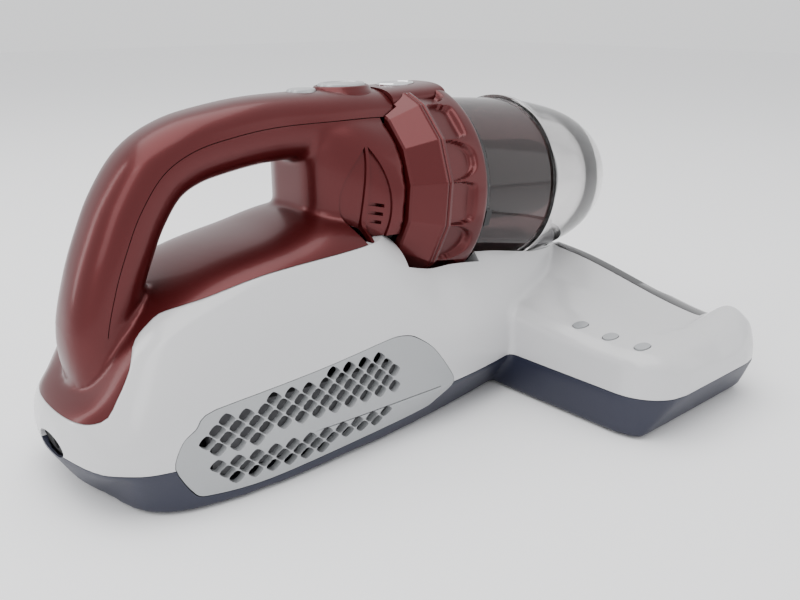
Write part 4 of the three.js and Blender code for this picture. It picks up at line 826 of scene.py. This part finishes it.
combine(ahead_of_ring, block("keep_top", (0, 400), (-100, 100), (GRIP_TOP_Z - 1, 300)), "DIFFERENCE")
combine(red, ahead_of_ring, "DIFFERENCE")
combine(red, seam_tool("over_seam", -GAP / 2, False), "INTERSECT")
bpy.data.objects.remove(outer_form)

COVER_FROM = 0.15
cover_room = grip_half("cover_room", COVER_FROM - 0.002, 1, -3, True, SPLIT - 0.7)
combine(cover_room, grip_half("cover_core", COVER_FROM - 0.002, 1, 2.4, True, SPLIT - 0.7), "DIFFERENCE")
combine(red, cover_room, "DIFFERENCE")

# Lens-shaped pockets on the barrel's sides, parted by an upright rib, with three leaning slots each side of
# it.
POCKET_DEPTH = 1.7
SLOT_TOP, SLOT_PITCH = 121.5, 4.4
SLOT_THICK, SLOT_FALL = 1.8, 1.9
rib_top, rib_foot = np.array([162.0, 149.0]), np.array([156.0, 98.0])
front_rim = bezier(rib_top + [0.6, 0], np.array([177.5, 126.0]), np.array([166.0, 92.0]), 24)
front_back = np.array([(157.2, 92), (157.2, 98), (160, 124)])
rear_rim = bezier(rib_foot - [0.9, 0], np.array([137.0, 124.0]), rib_top - [0.9, 0], 24)
for side in (-1, 1):
    near, far = (18, 60) if side > 0 else (-60, -18)
    for rim in (np.vstack([front_rim, front_back]), rear_rim):
        pocket = side_prism("pocket", rim, (near, far))
        combine(pocket, barrel_form("pocket_floor", POCKET_DEPTH), "DIFFERENCE")
        combine(red, pocket, "DIFFERENCE")
    for k in range(3):
        high = SLOT_TOP - SLOT_PITCH * k
        for start, length in ((159.6 - 0.6 * k, 8.5), (150.5 - 0.4 * k, 5.5)):
            slot = [(start, high), (start + length, high - SLOT_FALL),
                    (start + length, high - SLOT_FALL - SLOT_THICK), (start, high - SLOT_THICK)]
            combine(red, side_prism("slot", slot, (36, 60) if side > 0 else (-60, -36)), "DIFFERENCE")
smooth(red, 32)
dress(red, burgundy, "housing", "burgundy_plastic", "handle_housing")

# Handle cover: the outer half of the grip, a separate burgundy shell with a raised skirt round its button.
POWER_X, POWER_HALF = RING_X - 6, (14.0, 10.0)
MODE_X, MODE_HALF = RING_X - 32, (8.0, 6.5)
COVER_TOP_Z = 175.0


def oval_rings(x, half, levels):
    """Rings of an oval about (x, 0): one per (height, trim), each drawn in by its trim."""
    turn = np.linspace(0, 2 * np.pi, 96, endpoint=False)
    return [np.stack([x + (half[0] - trim) * np.cos(turn), (half[1] - trim) * np.sin(turn),
                      np.full(96, z)], -1) for z, trim in levels]


cover = grip_half("cover", COVER_FROM, 1, 0, True, SPLIT)
skirt = loft("skirt", oval_rings(POWER_X, (POWER_HALF[0] + 2.4, POWER_HALF[1] + 2.4), [
    (COVER_TOP_Z - 8, -4), (COVER_TOP_Z - 2.2, -2.4), (COVER_TOP_Z - 0.6, -0.7), (COVER_TOP_Z + 0.8, 0.1),
    (COVER_TOP_Z + 1.4, 0.6), (COVER_TOP_Z + 1.6, 1.2)]))
combine(skirt, block("skirt_room", (0, TOP_FRONT_X), (-50, 50), (100, 200)), "INTERSECT")
combine(cover, skirt, "UNION")
combine(cover, grip_half("cover_hollow", 0.0, 1, 2.8, True, SPLIT - 4), "DIFFERENCE")
combine(cover, block("cover_end", (-10, TOP_FRONT_X), (-FAR, FAR), (0, 220)), "INTERSECT")
combine(cover, loft("power_hole", oval_rings(POWER_X, (POWER_HALF[0] + 0.5, POWER_HALF[1] + 0.5),
                                             [(GRIP_TOP_Z, 0), (220, 0)])), "DIFFERENCE")
combine(cover, loft("mode_hole", oval_rings(MODE_X, (MODE_HALF[0] + 0.5, MODE_HALF[1] + 0.5),
                                            [(GRIP_TOP_Z, 0), (220, 0)])), "DIFFERENCE")
smooth(cover, 32)
dress(cover, burgundy, "housing", "burgundy_plastic", "handle_cover")

# Two push buttons: satin silver caps with softly domed tops, the larger with a shallow ring.
satin_silver = moulded("satin_silver", (0.46, 0.47, 0.48), (0.5, 0.5, 0.49), (0.28, 0.38), 0.15, 0.02,
                       metallic=0.5)
power_cap = loft("power_cap", oval_rings(POWER_X, POWER_HALF, [
    (COVER_TOP_Z - 4, 0), (COVER_TOP_Z + 1.6, 0), (COVER_TOP_Z + 2.5, 0.4), (COVER_TOP_Z + 2.95, 1.3),
    (COVER_TOP_Z + 3.0, 3.2), (COVER_TOP_Z + 2.5, 3.8), (COVER_TOP_Z + 2.45, 6), (COVER_TOP_Z + 2.9, 8.2),
    (COVER_TOP_Z + 3.0, 9.4)]), 30)
dress(power_cap, satin_silver, "power_button", "silver_plastic", "power_button")
mode_cap = loft("mode_cap", oval_rings(MODE_X, MODE_HALF, [
    (COVER_TOP_Z - 4, 0), (COVER_TOP_Z + 0.3, 0), (COVER_TOP_Z + 1.0, 0.4), (COVER_TOP_Z + 1.35, 1.4),
    (COVER_TOP_Z + 1.4, 4), (COVER_TOP_Z + 1.4, 6.2)]), 30)
dress(mode_cap, satin_silver, "mode_button", "silver_plastic", "mode_button")

# Saddle bridge: a burgundy moulding from the cover over the collar, with a blank chrome oval badge let in.
BRIDGE_HALF = 21.0
BRIDGE_REAR_X = TOP_FRONT_X + GAP
bridge_end = on_axis(0, 0, COLLAR_LENGTH)
BRIDGE_FRONT_X = bridge_end[0] + COLLAR_RADIUS * math.sin(AXIS_TILT)
COLLAR_CROWN_Z = bridge_end[2] + COLLAR_RADIUS * math.cos(AXIS_TILT)
BADGE_HALF = (12.0, 8.0)


def bridge_top(x):
    """Height of the bridge's crown: a straight line from the cover's top to just over the collar's crown."""
    return 174.6 + (x - BRIDGE_REAR_X) / (BRIDGE_FRONT_X - BRIDGE_REAR_X) * (COLLAR_CROWN_Z + 0.4 - 174.6)


def bridge_form(name, grow, rear, front):
    """Arched sections along X: the arch |y/half|^3.2 + |z/rise|^3.2 = 1 stands on straight sides."""
    turn = np.linspace(0, np.pi, 48)
    rings = []
    for x in np.linspace(rear, front, 24):
        top = bridge_top(x) + grow
        low = bridge_end[2] + COLLAR_RADIUS - 16 - (x - BRIDGE_FRONT_X) * math.tan(AXIS_TILT) - grow
        half = BRIDGE_HALF + grow
        y = half * np.sign(np.cos(turn)) * np.abs(np.cos(turn)) ** 0.72
        z = top - 7.5 + 7.5 * np.sin(turn) ** 0.8
        y = np.concatenate([[half], y, [-half]])
        z = np.concatenate([[low], z, [low]])
        rings.append(np.stack([np.full(len(y), x), y, z], -1))
    return loft(name, rings, 40)


BADGE_X = (BRIDGE_REAR_X + BRIDGE_FRONT_X) / 2
badge_top = bridge_top(BADGE_X)
bridge = bridge_form("bridge", 0, BRIDGE_REAR_X, BRIDGE_FRONT_X)
combine(bridge, loft("badge_room", oval_rings(BADGE_X, (BADGE_HALF[0] + 0.35, BADGE_HALF[1] + 0.35),
                                              [(badge_top - 1.95, 0), (210, 0)])), "DIFFERENCE")
combine(bridge, turned("ahead_of_collar", [(0, COLLAR_LENGTH), (90, COLLAR_LENGTH), (90, 90), (0, 90)]),
        "DIFFERENCE")
smooth(bridge, 35)
dress(bridge, burgundy, "housing", "burgundy_plastic", "top_bridge")

chrome = moulded("badge_chrome", (0.80, 0.81, 0.82), (0.75, 0.75, 0.75), (0.08, 0.16), 0.02, 0.02,
                 metallic=1.0)
badge = loft("badge_plate", oval_rings(BADGE_X, BADGE_HALF, [
    (badge_top - 1.6, 0), (badge_top + 0.3, 0), (badge_top + 0.8, 0.5), (badge_top + 0.9, 1.2),
    (badge_top + 0.4, 1.9), (badge_top + 0.45, 3.0), (badge_top + 0.8, 5.0), (badge_top + 0.95, 7.6)]), 30)
dress(badge, chrome, "housing", "bright_chrome", "badge")

# Faceted collar: burgundy, sixteen planes on its rear cone, a double-step ridge, and a front band whose
# scalloped edge leaves a pocket ahead of each plane.
COLLAR_FACETS = 16
COLLAR_BORE = MOTOR_RING_RADIUS - 3
COLLAR_SIDES = 576


def collar_form(name):
    """Radius by turn and place s along the axis. The cone is a sixteen-sided pyramid: r(s) cos(pi/16) /
    cos(turn within its facet). Ahead of the ridge the band stands on a round radius, and falls to the facets
    behind a scalloped line: a round tongue ahead of every other facet, a squarer one ahead of the rest."""
    facet = 2 * np.pi / COLLAR_FACETS
    turn = np.linspace(0, 2 * np.pi, COLLAR_SIDES, endpoint=False)
    shifted = turn + facet / 2
    within = shifted % facet - facet / 2
    flat = math.cos(facet / 2) / np.cos(within)
    odd = np.floor(shifted / facet).astype(int) % 2
    part = np.abs(within) / (facet / 2)
    tongue = 17.5 * np.clip(1 - (part / 0.93) ** 2.6, 0, None) ** 0.55
    square = 15.5 * np.clip(1 - (part / 0.98) ** 12, 0, None) ** 0.5
    edge = 21.5 + np.where(odd == 1, tongue, square)
    s = np.concatenate([[0.55, 1.2], np.linspace(1.6, 15.8, 10), np.linspace(16.2, 21.8, 22),
                        np.linspace(22, 41, 58), [42.5, 44, 45.5, 46.5, COLLAR_LENGTH]])[:, None]
    cone = np.interp(s, [0, 1.2, 16.4, 22.5, 47], [46.8, 49.2, 58.4, 57.0, 56.0])
    ridge = np.interp(s, [16.2, 16.7, 18.6, 19.1, 21.2, 21.8], [0, 0.9, 0.9, 1.7, 1.7, 0])
    rear = cone * flat + ridge
    front = np.interp(s, [20, 30, 42, 46, 47], [58.4, 59.4, 59.5, 59.3, 58.6])
    share = 1 / (1 + np.exp(-(s - edge) / 0.5)) * (s > 21.5)
    radius = rear * (1 - share) + front * share
    grid = on_axis(radius, turn[None, :], s)
    bore = on_axis(np.full((2, 1), COLLAR_BORE), turn[None, :], np.array([[COLLAR_LENGTH], [0.55]]))
    rings = np.concatenate([grid, bore])
    count = len(rings)
    here = np.arange(count)[:, None] * COLLAR_SIDES
    after = (np.arange(count)[:, None] + 1) % count * COLLAR_SIDES
    ring = np.arange(COLLAR_SIDES)
    following = np.roll(ring, -1)
    faces = np.stack([here + ring, here + following, after + following, after + ring], -1)
    made = make(name, rings.reshape(-1, 3), faces.reshape(-1, 4).tolist(), 24)
    face_out(made)
    return made


COVER_END_ROOM = 23.6
collar = collar_form("collar_shell")
combine(collar, bridge_form("bridge_room", 0.35, BRIDGE_REAR_X - 20, BRIDGE_FRONT_X + 9), "DIFFERENCE")
combine(collar, block("cover_clear", (RING_X - 5, BRIDGE_REAR_X), (-COVER_END_ROOM, COVER_END_ROOM),
                      (GRIP_TOP_Z, 220)), "DIFFERENCE")
combine(collar, block("saddle_clear", (BRIDGE_REAR_X, BRIDGE_FRONT_X + 2), (-21, 21), (172, 220)),
        "DIFFERENCE")
smooth(collar, 24)
dress(collar, burgundy, "housing", "burgundy_plastic", "collar")

# Lock ring: a black moulded ring with three finger lugs that twists to free the bin.
black_gloss = moulded("black_gloss", (0.010, 0.010, 0.011), (0.05, 0.05, 0.05), (0.18, 0.3), 0.1, 0.03)
lock_profile = [(COLLAR_BORE, LOCK_S), (56.6, LOCK_S), (56.6, LOCK_S + 2.4), (55.6, LOCK_S + 2.7),
                (55.6, LOCK_S + 4.1), (55.0, LOCK_S + 4.5), (54.2, LOCK_S + 6.4), (53.6, LOCK_S + 7),
                (COLLAR_BORE, LOCK_S + 7)]
lock = turned("lock_ring_part", lock_profile, 160)
for degrees in (40, 160, 280):
    turn = math.radians(degrees) + np.array([-5.2, -4.2, 4.2, 5.2]) / 56.5
    radius = np.array([55.5, 58.2, 58.2, 55.5])
    outline = [on_axis(radius, turn, np.full(4, LOCK_S + depth)) for depth in (0.9, 1.4, 4.6, 5.1)]
    combine(lock, loft("lug", outline), "UNION")
smooth(lock, 30)
dress(lock, black_gloss, "lock_ring", "black_plastic", "lock_ring")

# Dust bin: smoked clear plastic, a straight drum ahead of the lock ring and a clear domed nose.
BIN_WALL = 2.2


def clear_plastic(name, colour, roughness, transmission):
    """Clear moulded plastic: its own tint inside, fine waviness on the skin."""
    material, tree, shader = plain_material(name, colour, roughness)
    skin = place_group(tree, moulded_skin, Grain_Depth=0.01, Wave_Depth=0.06)
    tree.links.new(vary(tree, skin.outputs["Mask"], roughness, roughness + 0.06), shader.inputs["Roughness"])
    tree.links.new(skin.outputs["Normal"], shader.inputs["Normal"])
    shader.inputs["Transmission Weight"].default_value = transmission
    shader.inputs["IOR"].default_value = 1.49
    return material


bin_smoke = clear_plastic("bin_smoke", (0.075, 0.042, 0.042), 0.05, 0.92)
nose_clear = clear_plastic("nose_clear", (0.80, 0.79, 0.79), 0.03, 0.98)
drum = turned("bin_drum", [(COLLAR_BORE, BIN_S), (52.4, BIN_S), (52.6, BIN_S + 1), (BIN_RADIUS, BIN_S + 2.2),
                           (BIN_RADIUS, BIN_S + 58), (BIN_RADIUS - BIN_WALL, BIN_S + 58),
                           (BIN_RADIUS - BIN_WALL, BIN_S + 3), (COLLAR_BORE, BIN_S + 3)], 180)
combine(drum, block("port", (DUCT_X - 10, DUCT_X + 10), (-9, 9), (40, 75)), "DIFFERENCE")
smooth(drum, 30)
dress(drum, bin_smoke, "bin", "smoked_plastic", "dust_bin")

nose_rows = np.array([(53, 0), (53, 4), (51.2, 5.5), (50.4, 14), (49, 26), (46.5, 42), (43, 56), (38, 68),
                      (30.5, 79), (21.5, 87), (11, 93.5)], float)
arc = np.concatenate([[0], np.cumsum(np.hypot(*np.diff(nose_rows, axis=0).T))])
tail = np.linspace(arc[3], arc[-1], 44)
curve = np.stack([table(np.stack([arc, nose_rows[:, k]], -1), tail) for k in (0, 1)], -1)
outer = np.vstack([nose_rows[:3], curve, [(6.5, 95.1), (3, 95.8), (0, 96)]])
inner_rows = np.array([(0, 91.5), (7, 90.6), (14, 87), (24, 78), (31, 67.2), (37.1, 56), (44, 38.4),
                       (48.8, 8),
                       (48.8, 0)], float)
arc = np.concatenate([[0], np.cumsum(np.hypot(*np.diff(inner_rows, axis=0).T))])
curve = np.stack([table(np.stack([arc, inner_rows[:, k]], -1), np.linspace(0, arc[-1], 40)) for k in (0,
    1)], -1)
NOSE_SIDES = 180


def nose_form(name):
    """The outer curve from the ring to the tip, and the inner curve back: two surfaces of revolution joined
    by a flat rim at the ring."""
    turn = np.linspace(0, 2 * np.pi, NOSE_SIDES, endpoint=False)
    rows = np.vstack([outer[:-1], curve[1:]])
    grid = on_axis(rows[:, :1], turn[None, :], NOSE_S + rows[:, 1:]).reshape(-1, 3)
    poles = on_axis(np.zeros(2), np.zeros(2), NOSE_S + np.array([outer[-1, 1], curve[0, 1]]))
    points = np.vstack([grid, poles])
    split, count = len(outer) - 1, len(rows)
    ring = np.arange(NOSE_SIDES)
    after = np.roll(ring, -1)
    faces = []
    for k in list(range(split - 1)) + list(range(split, count - 1)):
        a = k * NOSE_SIDES
        faces += np.stack([a + ring, a + after, a + NOSE_SIDES + after, a + NOSE_SIDES + ring], -1).tolist()
    end, start, last = (split - 1) * NOSE_SIDES, split * NOSE_SIDES, (count - 1) * NOSE_SIDES
    faces += np.stack([end + ring, end + after, np.full(NOSE_SIDES, len(grid))], -1).tolist()
    faces += np.stack([np.full(NOSE_SIDES, len(grid) + 1), start + after, start + ring], -1).tolist()
    faces += np.stack([last + ring, last + after, after, ring], -1).tolist()
    made = make(name, points, faces, 30)
    face_out(made)
    return made


nose = nose_form("nose_dome")
dress(nose, nose_clear, "bin", "clear_plastic", "bin_nose")

# Cyclone shroud: a black drum round the pleated filter, closed by a domed end; its perforations are painted
# shade, near-black spots over shallow bumped dents.
SHROUD_S = BIN_S + 3.35
shroud = turned("shroud", [(0, SHROUD_S + 93.5), (16, SHROUD_S + 93.2), (23, SHROUD_S + 87), (23, SHROUD_S),
                           (47.8, SHROUD_S), (47.8, SHROUD_S + 2.5), (30, SHROUD_S + 3.2), (26, SHROUD_S + 5),
                           (25, SHROUD_S + 8), (25, SHROUD_S + 86), (24.2, SHROUD_S + 90.5),
                           (21, SHROUD_S + 94), (15, SHROUD_S + 96), (0, SHROUD_S + 96)], 144)
shroud_black, shroud_tree, shroud_shader = plain_material("shroud_mesh", (0.02, 0.02, 0.022), 0.4)
place = shroud_tree.nodes.new("ShaderNodeTexCoord")
cells = shroud_tree.nodes.new("ShaderNodeTexVoronoi")
cells.inputs["Scale"].default_value = 240.0
cells.inputs["Randomness"].default_value = 0.15
shroud_tree.links.new(place.outputs["Object"], cells.inputs["Vector"])
# Painted shade: spots at the cell centres go near-black to stand in for the holes, the rest keeps the drum's
# black; the same mask dents the bump.
hole_dents_and_painted_shade = shroud_tree.nodes.new("ShaderNodeMapRange")
hole_dents_and_painted_shade.inputs["From Min"].default_value = 0.28
hole_dents_and_painted_shade.inputs["From Max"].default_value = 0.34
shroud_tree.links.new(cells.outputs["Distance"], hole_dents_and_painted_shade.inputs["Value"])
shroud_tree.links.new(tint(shroud_tree, hole_dents_and_painted_shade.outputs["Result"], (0.001, 0.001, 0.001), (0.05, 0.05, 0.054)),
                      shroud_shader.inputs["Base Color"])
shroud_bump = shroud_tree.nodes.new("ShaderNodeBump")
shroud_bump.inputs["Strength"].default_value = 0.6
shroud_bump.inputs["Distance"].default_value = 0.0008
shroud_tree.links.new(hole_dents_and_painted_shade.outputs["Result"], shroud_bump.inputs["Height"])
shroud_tree.links.new(shroud_bump.outputs["Normal"], shroud_shader.inputs["Normal"])
dress(shroud, shroud_black, "bin", "black_plastic", "cyclone_shroud")

# Brush roll: a black core with four helical rows of nylon tufts that meet in a chevron at the middle.
BRUSH_X, BRUSH_Z, BRUSH_LENGTH = HEAD_FRONT_X - 33.5, 18.3, 250.0
CORE_RADIUS, TIP_RADIUS = 11.0, 16.5


def along_y(name, rows, x, z, sides):
    """A body of revolution about a line along Y through (x, z); rows of (radius, y), first and last
    capped."""
    turn = np.linspace(0, 2 * np.pi, sides, endpoint=False)
    return loft(name, [np.stack([x + r * np.cos(turn), np.full(sides, y), z + r * np.sin(turn)], -1) for r,
                       y in rows])


half_core = BRUSH_LENGTH / 2
core = along_y("brush_core", [(3, -half_core - 18), (3, -half_core), (CORE_RADIUS - 1, -half_core),
                              (CORE_RADIUS, -half_core + 1), (CORE_RADIUS, half_core - 1),
                              (CORE_RADIUS - 1, half_core), (3, half_core), (3, half_core + 18)], BRUSH_X,
                              BRUSH_Z, 64)
dress(core, black_gloss, "brush", "black_plastic", "brush_roll")


def tuft_rows(name):
    """Tapered six-sided tufts, four rows of 62: tuft k stands at turn = row quarter + |y| share x 108
    degrees,
    its foot sunk in the core, its tip spread by a small repeating offset."""
    k = np.arange(62)
    across = (k / 61 - 0.5) * (BRUSH_LENGTH - 8)
    points, faces = [], []
    corner = np.linspace(0, 2 * np.pi, 6, endpoint=False)
    for row in range(4):
        turn = row * np.pi / 2 + np.abs(k / 61 - 0.5) * np.pi * 1.2
        jitter = 0.5 * np.sin(k * 2.399 + row)
        for n in range(62):
            out = np.array([np.cos(turn[n]), 0, np.sin(turn[n])])
            side = np.array([-out[2], 0, out[0]])
            start = len(points)
            for radius, thick, drift in ((CORE_RADIUS - 1, 0.8, 0), (13.5, 1.0, 0.2),
                                         (TIP_RADIUS, 1.25, 1.0)):
                centre = np.array([BRUSH_X, across[n], BRUSH_Z]) + out * radius + side * jitter[n] * drift
                points += [centre + thick * (np.cos(c) * side + np.sin(c) * np.array([0, 1.3,
                    0])) for c in corner]
            ring = np.arange(6)
            after = np.roll(ring, -1)
            for level in (0, 6):
                a = start + level
                faces += np.stack([a + ring, a + after, a + 6 + after, a + 6 + ring], -1).tolist()
            faces += [(start + ring[::-1]).tolist(), (start + 12 + ring).tolist()]
    made = make(name, points, faces, 50)
    face_out(made)
    return made


nylon = moulded("nylon_bristle", (0.03, 0.03, 0.034), (0.12, 0.11, 0.10), (0.45, 0.6), 0.6, 0.05,
                grain_scale=2500.0)
tufts = tuft_rows("brush_tufts")
dress(tufts, nylon, "brush", "brush_bristle")

# Pieces kept in their engineering form: each gets the finish of its own stuff.
black_satin = moulded("black_satin", (0.014, 0.014, 0.015), (0.07, 0.07, 0.07), (0.4, 0.55), 0.25, 0.03)
rubber = moulded("black_rubber_finish", (0.012, 0.012, 0.012), (0.06, 0.06, 0.055), (0.7, 0.85), 0.5, 0.05)
bright_steel = moulded("bright_steel", (0.55, 0.55, 0.56), (0.45, 0.43, 0.40), (0.22, 0.36), 0.15, 0.02,
                       metallic=1.0)
motor_can = moulded("motor_can", (0.50, 0.50, 0.49), (0.38, 0.36, 0.33), (0.32, 0.5), 0.3, 0.04, metallic=0.9)
filter_foam = moulded("filter_foam", (0.10, 0.10, 0.105), (0.20, 0.19, 0.18), (0.85, 0.95), 1.0, 0.2,
                      grain_scale=700.0)
board_green = moulded("board_green", (0.02, 0.10, 0.05), (0.08, 0.12, 0.08), (0.35, 0.5), 0.2, 0.02)
white_matt = moulded("white_matt", (0.68, 0.68, 0.67), (0.6, 0.58, 0.55), (0.4, 0.55), 0.2, 0.03)
lamp_quartz = clear_plastic("lamp_quartz", (0.75, 0.74, 0.82), 0.04, 0.85)
cover_clear = clear_plastic("cover_clear", (0.62, 0.63, 0.64), 0.05, 0.9)
finishes = {
    "sole_plate": black_satin, "exhaust_filter_right": filter_foam, "exhaust_filter_left": filter_foam,
    "power_switch": black_satin, "mode_switch": black_satin, "bin_filter": filter_foam,
    "suction_motor": motor_can, "motor_mount": rubber, "fan": black_satin, "motor_filter": filter_foam,
    "brush_pulley": black_satin, "motor_pulley": bright_steel, "brush_motor": motor_can, "drive_belt": rubber,
    "brush_bearing_right": black_satin, "brush_bearing_left": black_satin, "uv_lamp": lamp_quartz,
    "lamp_holder_right": white_matt, "lamp_holder_left": white_matt, "lamp_cover": cover_clear,
    "roller_right": rubber, "roller_left": rubber, "roller_axle_right": bright_steel,
    "roller_axle_left": bright_steel, "lamp_plunger": white_matt, "lamp_switch": black_satin,
    "suction_duct": black_satin, "cord_inlet": rubber, "control_board": board_green,
    "foot_right": rubber, "foot_left": rubber, "screw_rear_right": bright_steel,
    "screw_rear_left": bright_steel, "screw_front_right": bright_steel, "screw_front_left": bright_steel,
}
for name, finish in finishes.items():
    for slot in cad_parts[name].material_slots:
        slot.material = finish
bpy.data.objects.remove(cradle)
